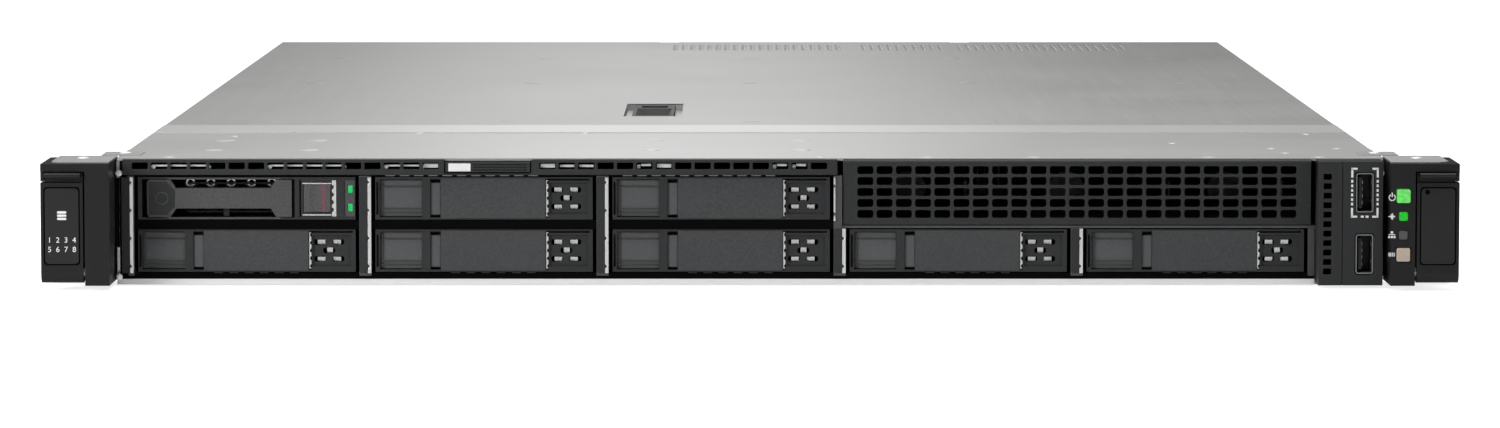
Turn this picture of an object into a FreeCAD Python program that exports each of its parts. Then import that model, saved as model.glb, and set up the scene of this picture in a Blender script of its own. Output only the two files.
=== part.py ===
import FreeCAD, Part
import math
import os

# Rack server, one rack unit high. Millimetres, +X right, +Y towards the rear, +Z up.
# Origin: on the underside, on the centre plane, in the plane where the ears meet the rack posts.

V = FreeCAD.Vector

# Chassis
RACK_WIDTH = 482.6
EAR_WIDTH = 24.0
BODY_HEIGHT = 43.2
BODY_DEPTH = 751.0
EAR_DEPTH = 34.0
FRONT_SETBACK = 19.0
SHEET = 1.0
COVER_SHEET = 0.8
DECK_DEPTH = 130.0
LEDGE_DEPTH = 35.0
SILL_HEIGHT = 2.4
SILL_DEPTH = 7.0
FIT_GAP = 0.3
SLIDE_GAP = 0.4

# Drive bays
BAY_COLUMNS = 5
BAY_MARGIN = 6.3
BAY_END_GAP = 0.6
DIVIDER = 4.8
BAY_DEPTH = 118.0
BAY_HEIGHT = 15.6
LOWER_BAY_BOTTOM = 3.8
SHELF_SHEET = 0.8
SHELF_RISE = 1.6
UPPER_BAY_COLUMNS = 3
DIVIDER_PROUD = 0.6
DIVIDER_FOLD = 2.4
FOOT_HALF = 3.0
FOOT_SETBACK = 20.0
BLANK_SIDE_GAP = 1.0
BLANK_HEIGHT = 14.6
BLANK_DEPTH = 46.0
BLANK_WALL = 1.2
RECESS_LEFT = 1.5
RECESS_RIGHT = 16.0
RECESS_DEPTH = 5.0
GROOVE_LEFT = 18.9
GROOVE_RIGHT = 22.4
VENT_PANEL_INSET = 1.8
VENT_PANEL_WIDTH = 13.2
BLANK_HOLE_X = 2.9
BLANK_HOLE_Z = 2.8
BLANK_HOLE_WIDTH = 4.1
BLANK_HOLE_HEIGHT = 2.0

# Vent strip and pull tab
STRIP_GAP = 1.9
STRIP_MARGIN = 2.95
STRIP_VENTS = 36
STRIP_DEPTH = 8.0
STRIP_PROUD = 1.2
DECK_START = 1.8
VENT_WEB = 1.25
VENT_HEIGHT = 2.1
TAB_SHARE = 0.4137
TAB_WIDTH = 29.0
TAB_HEIGHT = 3.4
TAB_LENGTH = 78.0
TONGUE_SHEET = 1.2

# Media bay grille
GRILLE_OVERLAP = 1.3
GRILLE_END_GAP = 1.7
GRILLE_BORDER = 4.4
GRILLE_COLUMNS = 23
GRILLE_ROWS = 5
GRILLE_PITCH_Z = 3.77
GRILLE_WEB = 1.15
SLOT_HEIGHT = 2.75
GRILLE_WALL = 1.5
GRILLE_DEPTH = 22.0

# Right hand columns
RIGHT_COLUMNS = 23.1
SIDE_VENT_WIDTH = 8.0
SIDE_VENT_HOLES = 11
SIDE_VENT_PITCH = 3.24
SIDE_VENT_PROUD = 11.0
USB_PANEL_WIDTH = 13.7
USB_PORT_WIDTH = 6.0
USB_PORT_HEIGHT = 13.5
USB_PORT_DEPTH = 12.0
USB_SHELL = 0.4
USB_UPPER_Z = 32.4
USB_LOWER_Z = 11.4
COLUMN_GAP = 0.2
COLUMN_WALL = 1.4
COLUMN_BOTTOM = 0.6
COLUMN_REACH = 8.0

# Ears, levers and buttons
EAR_GAP = 0.7
EAR_BAND = 2.2
EAR_WALL = 1.6
BRACKET_SHEET = 2.0
BRACKET_ARM = 46.0
LEVER_WIDTH = 14.4
LEVER_THICK = 7.2
LEVER_PIN_RADIUS = 1.5
EAR_BOTTOM = 1.2
LEVER_BOTTOM = 2.0
LEVER_TOP_GAP = 0.8
LEVER_SIDE_GAP = 0.6
EAR_BACK = 6.0
LIP_HEIGHT = 2.0
LIP_REACH = 2.6
PIN_CLEARANCE = 0.06
POWER_BUTTON_Z = 31.8
LOCATOR_BUTTON_Z = 11.8
BUTTON_SIZE = 4.6
BUTTON_PROUD = 0.5
BUTTON_DEPTH = 7.0
HEALTH_LIGHT_Z = 24.9
NETWORK_LIGHT_Z = 18.5
LIGHT_SIZE = 3.0
BUTTON_INSET = 4.3
SCREW_RADIUS_RACK = 4.2
SCREW_LENGTH_RACK = 6.0
RACK_SCREW_SHANK = 2.4
LEVER_PANEL_Z = 21.6
LEVER_PANEL_HEIGHT = 26.6
LEVER_PANEL_DEPTH = 0.5
BRACKET_SCREW_Z = (10.0, 32.0)
BRACKET_SCREW_INSET = 8.0

# Drive carrier
CARRIER_WALL = 1.2
CARRIER_RAIL = 0.7
CARRIER_LENGTH = 112.0
BEZEL_DEPTH = 12.0
DRIVE_SIDE_GAP = 2.4
DRIVE_LENGTH = 100.0
DRIVE_THICK = 9.5
CARRIER_PIN_X = 4.8
CARRIER_PIN_Y = 1.8
BUTTON_FRAME_WIDTH = 21.2
BUTTON_ROOM_INSET = 7.0
CARRIER_LIGHT_OFFSET = 3.15
PLUG_REACH = 8.0
PLUG_START = 15.0
PLUG_WIDTH = 31.0
PLANE_HOLE_INSET = 4.6
PLANE_HOLE_WIDTH = 18.0
CARRIER_LEVER_THICK = 4.0
CARRIER_BAR_HEIGHT = 7.0
CARRIER_PAD_WIDTH = 10.0
CARRIER_PIN_RADIUS = 1.0
CARRIER_BUTTON_INSET = 3.5
CARRIER_BUTTON_WIDTH = 9.2
CARRIER_BUTTON_HEIGHT = 9.5
LIGHT_INSET = 1.6

# Fans
FAN_COUNT = 7
FAN_SIZE = 40.0
FAN_DEPTH = 28.0
FAN_MARGIN = 13.3
FAN_GAP = 12.0
FAN_BORE = 18.8
FAN_HUB = 9.5
FAN_TIP_GAP = 0.6
FAN_BLADES = 5
FAN_BLADE_THICK = 1.0
FAN_SHAFT = 1.5
FAN_STRUT = 2.0
FAN_SHAFT_GAP = 0.1
FAN_DUCT_SIDES = 16
FAN_HUB_SIDES = 10
FAN_SHAFT_SIDES = 8
BLADE_CHORD = 0.62
BLADE_LEAD_ANGLE = 45.0
BLADE_TRAIL_ANGLE = 25.0
CRADLE_SHEET = 0.8
CRADLE_LIP = 1.5
CRADLE_END = 8.0
CRADLE_HEIGHT = 24.0

# System board, processors and memory
BOARD_SHEET = 1.6
STANDOFF_HEIGHT = 4.0
STANDOFF_RADIUS = 2.5
BOARD_GAP = 20.0
PROCESSOR_SHARE = 0.4808
PROCESSOR_Y = 268.0
SOCKET_WIDTH = 60.0
SOCKET_LENGTH = 80.0
SOCKET_HEIGHT = 6.0
SINK_SHARE = 0.8478
SINK_LENGTH = 108.0
SINK_BASE = 4.0
SINK_HEIGHT = 26.0
SINK_FINS = 18
FIN_SHEET = 0.7
MEMORY_LENGTH = 142.0
MEMORY_PER_BANK = 6
MEMORY_SOCKET_SHARE = 0.7
MEMORY_SOCKET_HEIGHT = 8.0
MEMORY_SLOT_SHARE = 0.28
MODULE_SHEET = 1.3
MODULE_HEIGHT = 31.2
BANK_SHARE = 0.4423
MEMORY_LAST_SHARE = 0.8846
BAFFLE_SHEET = 1.2
CONTROLLER_SIZE = 40.0
CONTROLLER_FINS = 9
CONTROLLER_FIN = 1.0
POWER_SOCKET_START = 12.0
POWER_SOCKET_WIDTH = 50.0
POWER_SOCKET_DEPTH = 20.0
CHOKES = 10
CHOKE_SIZE = 8.0

# Rear: power supplies, risers and connectors
SUPPLY_WIDTH = 86.4
SUPPLY_HEIGHT = 38.6
SUPPLY_LENGTH = 190.0
SUPPLY_GAP = 2.0
INLET_WIDTH = 27.0
INLET_HEIGHT = 19.6
INLET_DEPTH = 16.0
SUPPLY_FAN_RADIUS = 17.0
HANDLE_RADIUS = 2.0
HANDLE_REACH = 18.0
LATCH_WIDTH = 5.0
INLET_OFFSET = 26.0
LATCH_PIN_OFFSET = 3.4
LATCH_PIN_RADIUS = 1.0
RISER_LENGTH = 200.0
SLOT_COVER_GAP = 8.6
SLOT_COVER_HEIGHT = 18.4
PORT_HEIGHT = 13.6
PORT_LEAD_SHARE = 0.22
REAR_VENTS = 8
REAR_VENT_Z = 12.0
REAR_VENT_WIDTH = 3.6
REAR_VENT_HEIGHT = 9.0
PORT_END_SHARE = 0.14
SLOT_VENTS = 9
SLOT_VENT_WIDTH = 4.4
SLOT_TAB_LENGTH = 11.0
RISER_LIP = 9.0
SOCKET_DEPTH = 10.0
JACK_FLOOR = 1.6
JACK_BACK = 6.0
JACK_WIDTH = 15.6
JACK_DEPTH = 21.0
JACK_OPENING_WIDTH = 11.7
JACK_OPENING_HEIGHT = 8.6
DSUB_WIDTH = 31.0
DSUB_HEIGHT = 12.5
REAR_USB_WIDTH = 14.4
REAR_USB_HEIGHT = 7.2

# Top cover and its latch
COVER_FLANGE = 9.0
LEDGE_STEP = 0.3
LATCH_SHARE = -0.17
LATCH_POCKET_WIDTH = 20.0
LATCH_POCKET_LENGTH = 72.0
LATCH_POCKET_DEPTH = 3.0
LATCH_START_Y = 213.0
LATCH_LENGTH = 66.0
LATCH_LEVER_WIDTH = 16.0
COVER_PIN_RADIUS = 0.7
LATCH_PIN_SETBACK = 3.0
REAR_NOTCH_SHARES = (-0.172, 0.447)
REAR_NOTCH_WIDTH = 9.0

# Fasteners
STUD_NECK_RADIUS = 2.2
STUD_NECK_LENGTH = 2.0
STUD_HEAD_RADIUS = 3.9
STUD_HEAD_LENGTH = 1.2
STUD_SIDES = 8
STUD_Z = 21.6
STUD_SHARES = (0.1, 0.34, 0.606, 0.9)
SCREW_RADIUS = 2.6
SCREW_HEAD = 1.2
SCREW_SHANK_RADIUS = 1.4
SCREW_SIDES = 8

# Cables held inside
PANEL_CABLE_RADIUS = 2.0
DRIVE_CABLE_RADIUS = 2.5
CABLE_SIDES = 8
CABLE_SEAT = 0.7
CABLE_LOW = 12.0
DRIVE_CABLE_INSET = 13.3
DRIVE_CABLE_RISE = 12.0

# Places that follow from the driving dimensions
HALF_RACK = RACK_WIDTH / 2
HALF_WIDTH = HALF_RACK - EAR_WIDTH
INNER_HALF = HALF_WIDTH - SHEET
EAR_FRONT = -EAR_DEPTH
FRONT = EAR_FRONT + FRONT_SETBACK
REAR = FRONT + BODY_DEPTH
TOP = BODY_HEIGHT
EAR_TOP = BODY_HEIGHT - 0.4
FLOOR = SHEET
COVER_BOTTOM = TOP - COVER_SHEET
ROOF = COVER_BOTTOM - FIT_GAP
DECK_FRONT = FRONT + DECK_START
DECK_END = FRONT + DECK_DEPTH
CAGE_BACK = FRONT + BAY_DEPTH
SHELF_Z = LOWER_BAY_BOTTOM + BAY_HEIGHT
UPPER_BAY_BOTTOM = SHELF_Z + SHELF_SHEET + SHELF_RISE
UPPER_BAY_TOP = UPPER_BAY_BOTTOM + BAY_HEIGHT
CAGE_ROOF = UPPER_BAY_TOP + SHELF_SHEET
SIDE_VENT_LEFT = HALF_WIDTH - RIGHT_COLUMNS
USB_PANEL_LEFT = SIDE_VENT_LEFT + SIDE_VENT_WIDTH + COLUMN_GAP
BAY_FIRST_LEFT = -HALF_WIDTH + BAY_MARGIN
CAGE_LEFT = BAY_FIRST_LEFT - DIVIDER / 2
CAGE_RIGHT = SIDE_VENT_LEFT - BAY_END_GAP
BAY_PITCH = (CAGE_RIGHT - CAGE_LEFT) / BAY_COLUMNS
BAY_OPENING = BAY_PITCH - DIVIDER
BLANK_WIDTH = BAY_OPENING - 2 * BLANK_SIDE_GAP
VENT_PANEL_RIGHT = BLANK_WIDTH - VENT_PANEL_INSET
VENT_PANEL_LEFT = VENT_PANEL_RIGHT - VENT_PANEL_WIDTH
BUTTON_FRAME_LEFT = BLANK_WIDTH - BUTTON_FRAME_WIDTH
CARRIER_LEVER_RIGHT = BUTTON_FRAME_LEFT - 2 * FIT_GAP
CARRIER_BUTTON_LEFT = BUTTON_FRAME_LEFT + CARRIER_BUTTON_INSET
DRIVE_WIDTH = BLANK_WIDTH - 2 * DRIVE_SIDE_GAP
GRILLE_LEFT = BAY_FIRST_LEFT + UPPER_BAY_COLUMNS * BAY_PITCH - GRILLE_OVERLAP
GRILLE_RIGHT = SIDE_VENT_LEFT - GRILLE_END_GAP
GRILLE_BOTTOM = SHELF_Z + SHELF_SHEET + FIT_GAP
GRILLE_PITCH_X = (GRILLE_RIGHT - GRILLE_LEFT - 2 * GRILLE_BORDER) / GRILLE_COLUMNS
SLOT_WIDTH = GRILLE_PITCH_X - GRILLE_WEB
STRIP_LEFT = -INNER_HALF + 1.0
STRIP_RIGHT = GRILLE_LEFT - STRIP_GAP
VENT_PITCH = (STRIP_RIGHT - STRIP_LEFT - 2 * STRIP_MARGIN) / STRIP_VENTS
VENT_WIDTH = VENT_PITCH - VENT_WEB
TAB_LEFT = -TAB_SHARE * HALF_WIDTH - TAB_WIDTH / 2
TAB_RIGHT = TAB_LEFT + TAB_WIDTH
LEVER_PIN_Z = LEVER_BOTTOM + LEVER_THICK / 2
LEVER_PIN_Y = EAR_FRONT + LEVER_THICK / 2
BUTTON_COLUMN_X = HALF_WIDTH + EAR_GAP + BUTTON_INSET
FAN_FRONT = DECK_END + FAN_GAP
FAN_BACK = FAN_FRONT + FAN_DEPTH
FAN_Z = FLOOR + CRADLE_SHEET + FAN_SIZE / 2
FAN_PITCH = 2 * (INNER_HALF - FAN_MARGIN) / FAN_COUNT
BOARD_FRONT = FAN_BACK + BOARD_GAP
BOARD_BOTTOM = FLOOR + STANDOFF_HEIGHT
BOARD_TOP = BOARD_BOTTOM + BOARD_SHEET
PROCESSOR_X = PROCESSOR_SHARE * INNER_HALF
BANK_OFFSET = BANK_SHARE * PROCESSOR_X
SINK_WIDTH = 2 * SINK_SHARE * BANK_OFFSET
MEMORY_PITCH = (MEMORY_LAST_SHARE - BANK_SHARE) * PROCESSOR_X / (MEMORY_PER_BANK - 1)
MEMORY_SOCKET_WIDTH = MEMORY_SOCKET_SHARE * MEMORY_PITCH
MEMORY_SLOT_WIDTH = MEMORY_SLOT_SHARE * MEMORY_SOCKET_WIDTH
SUPPLY_FRONT = REAR - SUPPLY_LENGTH
SUPPLY_BOTTOM = FLOOR + FIT_GAP
SUPPLY_1_LEFT = -INNER_HALF + SUPPLY_GAP
SUPPLY_2_LEFT = SUPPLY_1_LEFT + SUPPLY_WIDTH + SUPPLY_GAP
SUPPLIES_RIGHT = SUPPLY_2_LEFT + SUPPLY_WIDTH + SUPPLY_GAP
REAR_FIELD = INNER_HALF - SUPPLIES_RIGHT
SLOT_COVER_WIDTH = (REAR_FIELD - 3 * SLOT_COVER_GAP) / 2
SLOT_COVER_BOTTOM = ROOF - 2 * COVER_SHEET - SLOT_COVER_HEIGHT
LATCH_X = LATCH_SHARE * HALF_WIDTH


def box(x0, x1, y0, y1, z0, z1):
    return Part.makeBox(x1 - x0, y1 - y0, z1 - z0, V(x0, y0, z0))


def prism(points, direction):
    wire = Part.makePolygon(points + [points[0]])
    return Part.Face(wire).extrude(direction)


def prism_along_y(outline, y0, y1):
    return prism([V(x, y0, z) for x, z in outline], V(0, y1 - y0, 0))


def prism_along_x(outline, x0, x1):
    return prism([V(x0, y, z) for y, z in outline], V(x1 - x0, 0, 0))


def prism_along_z(outline, z0, z1):
    return prism([V(x, y, z0) for x, y in outline], V(0, 0, z1 - z0))


def slot_outline(x, z, width, height, corner):
    a = width / 2
    b = height / 2
    return [
        (x - a + corner, z - b),
        (x + a - corner, z - b),
        (x + a, z - b + corner),
        (x + a, z + b - corner),
        (x + a - corner, z + b),
        (x - a + corner, z + b),
        (x - a, z + b - corner),
        (x - a, z - b + corner),
    ]


def window(x, z, width, height, y0, y1):
    return box(x - width / 2, x + width / 2, y0, y1, z - height / 2, z + height / 2)


def slot(x, z, width, height, corner, y0, y1):
    return prism_along_y(slot_outline(x, z, width, height, corner), y0, y1)


def polygon_rod(start, direction, radius, sides):
    # A round form that repeats or is small, drawn with a few flat sides.
    axis = V(direction).normalize()
    across = V(0, 0, 1) if abs(axis.z) < 0.5 else V(1, 0, 0)
    along = axis.cross(across)
    points = []
    for k in range(sides):
        angle = 2 * math.pi * (k + 0.5) / sides
        points.append(start + across * (radius * math.cos(angle)) + along * (radius * math.sin(angle)))
    return prism(points, direction)


def rod_x(x0, x1, y, z, radius):
    return Part.makeCylinder(radius, x1 - x0, V(x0, y, z), V(1, 0, 0))


def rod_y(x, y0, y1, z, radius):
    return Part.makeCylinder(radius, y1 - y0, V(x, y0, z), V(0, 1, 0))


def rod_z(x, y, z0, z1, radius):
    return Part.makeCylinder(radius, z1 - z0, V(x, y, z0), V(0, 0, 1))


def fuse(shapes):
    return shapes[0].fuse(shapes[1:]).removeSplitter()


def cut(shape, cutters):
    return shape.cut(cutters) if cutters else shape


def group(shapes):
    return Part.makeCompound(shapes)


def mirrored(shape):
    return shape.mirror(V(0, 0, 0), V(1, 0, 0))


def save(node, shape):
    shape.exportStep(os.path.join("parts", node + ".step"))


# Chassis sheet metal

def chassis_tray():
    outline = [
        (-HALF_WIDTH, 0),
        (HALF_WIDTH, 0),
        (HALF_WIDTH, ROOF),
        (INNER_HALF, ROOF),
        (INNER_HALF, FLOOR),
        (-INNER_HALF, FLOOR),
        (-INNER_HALF, ROOF),
        (-HALF_WIDTH, ROOF),
    ]
    trough = prism_along_y(outline, FRONT, REAR)
    sill_right = SIDE_VENT_LEFT - COLUMN_GAP
    sill = box(-INNER_HALF, sill_right, FRONT, FRONT + SILL_DEPTH, FLOOR, SILL_HEIGHT)
    posts = []
    for x, y in standoff_places():
        posts.append(polygon_rod(V(x, y, FLOOR), V(0, 0, STANDOFF_HEIGHT), STANDOFF_RADIUS, 6))
    guide_end = REAR - SHEET - FIT_GAP
    guide = box(SUPPLIES_RIGHT - SHEET, SUPPLIES_RIGHT, SUPPLY_FRONT, guide_end, FLOOR, ROOF - 2)
    return fuse([trough, sill, guide] + posts)


def standoff_places():
    edge = 12.0
    middle = (BOARD_FRONT + SUPPLY_FRONT) / 2
    columns = [-INNER_HALF + edge, 0.0, INNER_HALF - edge]
    rows = [BOARD_FRONT + edge, middle, SUPPLY_FRONT - edge]
    places = [(x, y) for x in columns for y in rows]
    places.append((INNER_HALF - edge, REAR - 3 * edge))
    return places


def rear_panel():
    panel = box(-INNER_HALF, INNER_HALF, REAR - SHEET, REAR, FLOOR, ROOF)
    supplies = box(
        SUPPLY_1_LEFT - FIT_GAP,
        SUPPLIES_RIGHT - SUPPLY_GAP + FIT_GAP,
        REAR - 2 * SHEET,
        REAR + SHEET,
        FLOOR,
        SUPPLY_BOTTOM + SUPPLY_HEIGHT + FIT_GAP,
    )
    cutters = [supplies]
    for left in slot_cover_lefts():
        cutters.append(box(
            left + 3,
            left + SLOT_COVER_WIDTH - 3,
            REAR - 2 * SHEET,
            REAR + SHEET,
            SLOT_COVER_BOTTOM + 2,
            SLOT_COVER_BOTTOM + SLOT_COVER_HEIGHT - 2,
        ))
    for x, width, height in port_list():
        cutters.append(box(
            x - width / 2 - FIT_GAP,
            x + width / 2 + FIT_GAP,
            REAR - 2 * SHEET,
            REAR + SHEET,
            BOARD_TOP,
            BOARD_TOP + height + FIT_GAP,
        ))
    pitch = PORT_LEAD_SHARE * REAR_FIELD / (REAR_VENTS + 1)
    for k in range(REAR_VENTS):
        vent_x = SUPPLIES_RIGHT + (k + 1) * pitch
        low = REAR - 2 * SHEET
        cutters.append(window(vent_x, REAR_VENT_Z, REAR_VENT_WIDTH, REAR_VENT_HEIGHT, low, REAR + SHEET))
    return cut(panel, cutters)


def front_deck():
    plate = box(-HALF_WIDTH, HALF_WIDTH, DECK_FRONT, DECK_END, COVER_BOTTOM, TOP)
    half = INNER_HALF - FIT_GAP
    lip = box(-half, half, DECK_END - 1, DECK_END, COVER_BOTTOM - 2.5, COVER_BOTTOM)
    return fuse([plate, lip])


def bay_left(column):
    return BAY_FIRST_LEFT + column * BAY_PITCH


def divider_x(index):
    return bay_left(index) - DIVIDER / 2


def bay_divider(index):
    # A sheet across the height of the bays, with a folded flange at its front.
    x = divider_x(index)
    low = LOWER_BAY_BOTTOM - SHELF_SHEET
    full_height = index <= UPPER_BAY_COLUMNS
    high = UPPER_BAY_TOP if full_height else SHELF_Z + SHELF_SHEET
    half = DIVIDER / 2 - FIT_GAP
    left = max(x - half, CAGE_LEFT)
    right = min(x + half, CAGE_RIGHT)
    sheet = box(x - SHEET / 2, x + SHEET / 2, FRONT, CAGE_BACK, low, high)
    flange = box(left, right, FRONT - DIVIDER_PROUD, FRONT + DIVIDER_FOLD, low, SHELF_Z)
    if not full_height:
        return [sheet, flange]
    upper_right = min(right, GRILLE_LEFT - FIT_GAP)
    upper_flange = box(left, upper_right, FRONT - DIVIDER_PROUD, FRONT + DIVIDER_FOLD, SHELF_Z, high)
    return [sheet, flange, upper_flange]


def drive_cage():
    upper_right = divider_x(UPPER_BAY_COLUMNS)
    low = LOWER_BAY_BOTTOM - SHELF_SHEET
    roof_front = FRONT + STRIP_DEPTH + FIT_GAP
    pieces = [
        box(CAGE_LEFT, CAGE_RIGHT, FRONT, CAGE_BACK, low, LOWER_BAY_BOTTOM),
        box(CAGE_LEFT, CAGE_RIGHT, FRONT, CAGE_BACK, SHELF_Z, SHELF_Z + SHELF_SHEET),
        box(CAGE_LEFT, upper_right, FRONT, CAGE_BACK, UPPER_BAY_BOTTOM - SHELF_SHEET, UPPER_BAY_BOTTOM),
        box(CAGE_LEFT, upper_right, roof_front, CAGE_BACK, UPPER_BAY_TOP, CAGE_ROOF),
    ]
    for i in range(BAY_COLUMNS + 1):
        pieces += bay_divider(i)
        x = min(max(divider_x(i), CAGE_LEFT + FOOT_HALF), CAGE_RIGHT - FOOT_HALF)
        foot_front = FRONT + FOOT_SETBACK
        foot_back = CAGE_BACK - FOOT_SETBACK
        pieces.append(box(x - FOOT_HALF, x + FOOT_HALF, foot_front, foot_back, FLOOR, low))
    return fuse(pieces)


def vent_strip():
    bottom = UPPER_BAY_TOP + FIT_GAP
    front = FRONT - STRIP_PROUD
    back = FRONT + STRIP_DEPTH
    nose_top = TOP - 0.2
    strip = prism_along_x([
        (front, bottom),
        (back, bottom),
        (back, COVER_BOTTOM - FIT_GAP),
        (DECK_FRONT - FIT_GAP, COVER_BOTTOM - FIT_GAP),
        (DECK_FRONT - FIT_GAP, nose_top),
        (front + 0.6, nose_top),
        (front, nose_top - 0.6),
    ], STRIP_LEFT, STRIP_RIGHT)
    low = tab_bottom() - SLIDE_GAP
    cutters = [box(TAB_LEFT - SLIDE_GAP, TAB_RIGHT + SLIDE_GAP, front - 1, back + 1, low, TOP)]
    for k in range(STRIP_VENTS):
        x = STRIP_LEFT + STRIP_MARGIN + (k + 0.5) * VENT_PITCH
        clear_of_tab = abs(x - (TAB_LEFT + TAB_RIGHT) / 2) > (TAB_WIDTH + VENT_PITCH) / 2
        if clear_of_tab:
            cutters.append(window(x, strip_vent_z(), VENT_WIDTH, VENT_HEIGHT, front - 1, back + 1))
    return cut(strip, cutters)


def strip_vent_z():
    return (UPPER_BAY_TOP + COVER_BOTTOM) / 2


def tab_bottom():
    return COVER_BOTTOM - FIT_GAP - TAB_HEIGHT


def pull_tab():
    bottom = tab_bottom()
    front = FRONT - 1.4
    pad = prism_along_x([
        (front, bottom + 0.6),
        (front + 0.6, bottom),
        (front + STRIP_DEPTH, bottom),
        (front + STRIP_DEPTH, bottom + TAB_HEIGHT),
        (front + 0.6, bottom + TAB_HEIGHT),
        (front, bottom + TAB_HEIGHT - 0.6),
    ], TAB_LEFT, TAB_RIGHT)
    tongue = box(
        TAB_LEFT + 2,
        TAB_RIGHT - 2,
        front + STRIP_DEPTH - 1,
        front + TAB_LENGTH,
        bottom + TAB_HEIGHT / 2 - TONGUE_SHEET / 2,
        bottom + TAB_HEIGHT / 2 + TONGUE_SHEET / 2,
    )
    ribs = []
    for k in range(9):
        x = TAB_LEFT + 10.5 + 1.9 * k
        ribs.append(box(x, x + 0.9, front - 0.5, front + 0.2, bottom + 0.6, bottom + TAB_HEIGHT - 0.6))
    return fuse([pad, tongue] + ribs)


def media_bay_grille():
    bottom = GRILLE_BOTTOM
    top = TOP - 0.2
    face_back = FRONT + GRILLE_WALL
    face = box(GRILLE_LEFT, GRILLE_RIGHT, FRONT, face_back, bottom, top)
    cutters = []
    first_x = (GRILLE_LEFT + GRILLE_RIGHT) / 2 - GRILLE_PITCH_X * (GRILLE_COLUMNS - 1) / 2
    first_z = (bottom + top) / 2 - GRILLE_PITCH_Z * (GRILLE_ROWS - 1) / 2
    for i in range(GRILLE_COLUMNS):
        for k in range(GRILLE_ROWS):
            x = first_x + i * GRILLE_PITCH_X
            z = first_z + k * GRILLE_PITCH_Z
            cutters.append(window(x, z, SLOT_WIDTH, SLOT_HEIGHT, FRONT - 1, face_back + 1))
    sides = []
    for x in (GRILLE_LEFT, GRILLE_RIGHT - GRILLE_WALL):
        sides.append(box(x, x + GRILLE_WALL, face_back, FRONT + GRILLE_DEPTH, bottom + 1, COVER_BOTTOM - 1))
    return fuse([cut(face, cutters)] + sides)


def column_shell(left, width, cutters):
    front = column_front()
    back = FRONT + COLUMN_REACH
    outline = [
        (front, COLUMN_BOTTOM),
        (FRONT, COLUMN_BOTTOM),
        (FRONT, SILL_HEIGHT + FIT_GAP),
        (back, SILL_HEIGHT + FIT_GAP),
        (back, COVER_BOTTOM - FIT_GAP),
        (DECK_FRONT - FIT_GAP, COVER_BOTTOM - FIT_GAP),
        (DECK_FRONT - FIT_GAP, TOP - 0.2),
        (front + 0.5, TOP - 0.2),
        (front, TOP - 0.7),
    ]
    outer = prism_along_x(outline, left, left + width)
    inner = box(
        left + COLUMN_WALL,
        left + width - COLUMN_WALL,
        front + COLUMN_WALL,
        back + 1,
        SILL_HEIGHT + 1.4,
        COVER_BOTTOM - COLUMN_WALL,
    )
    return cut(outer, [inner] + cutters)


def column_front():
    return FRONT - SIDE_VENT_PROUD


def side_vent():
    middle = SIDE_VENT_LEFT + SIDE_VENT_WIDTH / 2
    cutters = []
    first = BODY_HEIGHT / 2 - SIDE_VENT_PITCH * (SIDE_VENT_HOLES - 1) / 2
    for k in range(SIDE_VENT_HOLES):
        z = first + k * SIDE_VENT_PITCH
        cutters.append(window(middle, z, 2.8, 2.05, column_front() - 1, column_front() + 3))
    return column_shell(SIDE_VENT_LEFT, SIDE_VENT_WIDTH, cutters)


def usb_centre_x():
    return USB_PANEL_LEFT + USB_PANEL_WIDTH / 2 + 0.6


def usb_panel():
    cutters = []
    for z in (USB_UPPER_Z, USB_LOWER_Z):
        x = usb_centre_x()
        a = USB_PORT_WIDTH / 2 + FIT_GAP
        b = USB_PORT_HEIGHT / 2 + FIT_GAP
        cutters.append(box(x - a, x + a, column_front() - 1, column_front() + 3, z - b, z + b))
    return column_shell(USB_PANEL_LEFT, USB_PANEL_WIDTH, cutters)


def usb_ports():
    shells = []
    x = usb_centre_x()
    front = column_front() - 0.2
    for z in (USB_UPPER_Z, USB_LOWER_Z):
        a = USB_PORT_WIDTH / 2
        b = USB_PORT_HEIGHT / 2
        outer = box(x - a, x + a, front, front + USB_PORT_DEPTH, z - b, z + b)
        hollow = box(
            x - a + USB_SHELL,
            x + a - USB_SHELL,
            front - 1,
            front + USB_PORT_DEPTH - 1,
            z - b + USB_SHELL,
            z + b - USB_SHELL,
        )
        end = front + USB_PORT_DEPTH - 0.5
        tongue = box(x - a + 0.9, x - a + 2.2, front + 0.6, end, z - b + 1.4, z + b - 1.4)
        back = box(x - a, x + a, front + USB_PORT_DEPTH - 1, FRONT + 7, z - b + 1, z + b - 1)
        shells.append(fuse([outer.cut(hollow), tongue, back]))
    return group(shells)


# Ears

def ear_inner():
    return HALF_WIDTH + EAR_GAP


def lever_left():
    return HALF_RACK - LEVER_WIDTH


def ear_bracket():
    screw_x = lever_left() + LEVER_WIDTH / 2
    low = EAR_BOTTOM
    high = COVER_BOTTOM - 0.4
    plate_hole = polygon_rod(V(screw_x, -5, BODY_HEIGHT / 2), V(0, 10, 0), RACK_SCREW_SHANK, SCREW_SIDES)
    plate = box(HALF_WIDTH, HALF_RACK - 1.0, -BRACKET_SHEET, 0, low, high).cut(plate_hole)
    arm = box(HALF_WIDTH, HALF_WIDTH + BRACKET_SHEET, -BRACKET_SHEET, BRACKET_ARM, low, high)
    holes = []
    for z in BRACKET_SCREW_Z:
        start = V(HALF_WIDTH - 1, BRACKET_ARM - BRACKET_SCREW_INSET, z)
        holes.append(polygon_rod(start, V(BRACKET_SHEET + 2, 0, 0), SCREW_SHANK_RADIUS, SCREW_SIDES))
    return cut(fuse([plate, arm]), holes)


def ear_brackets():
    return group([ear_bracket(), mirrored(ear_bracket())])


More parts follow.
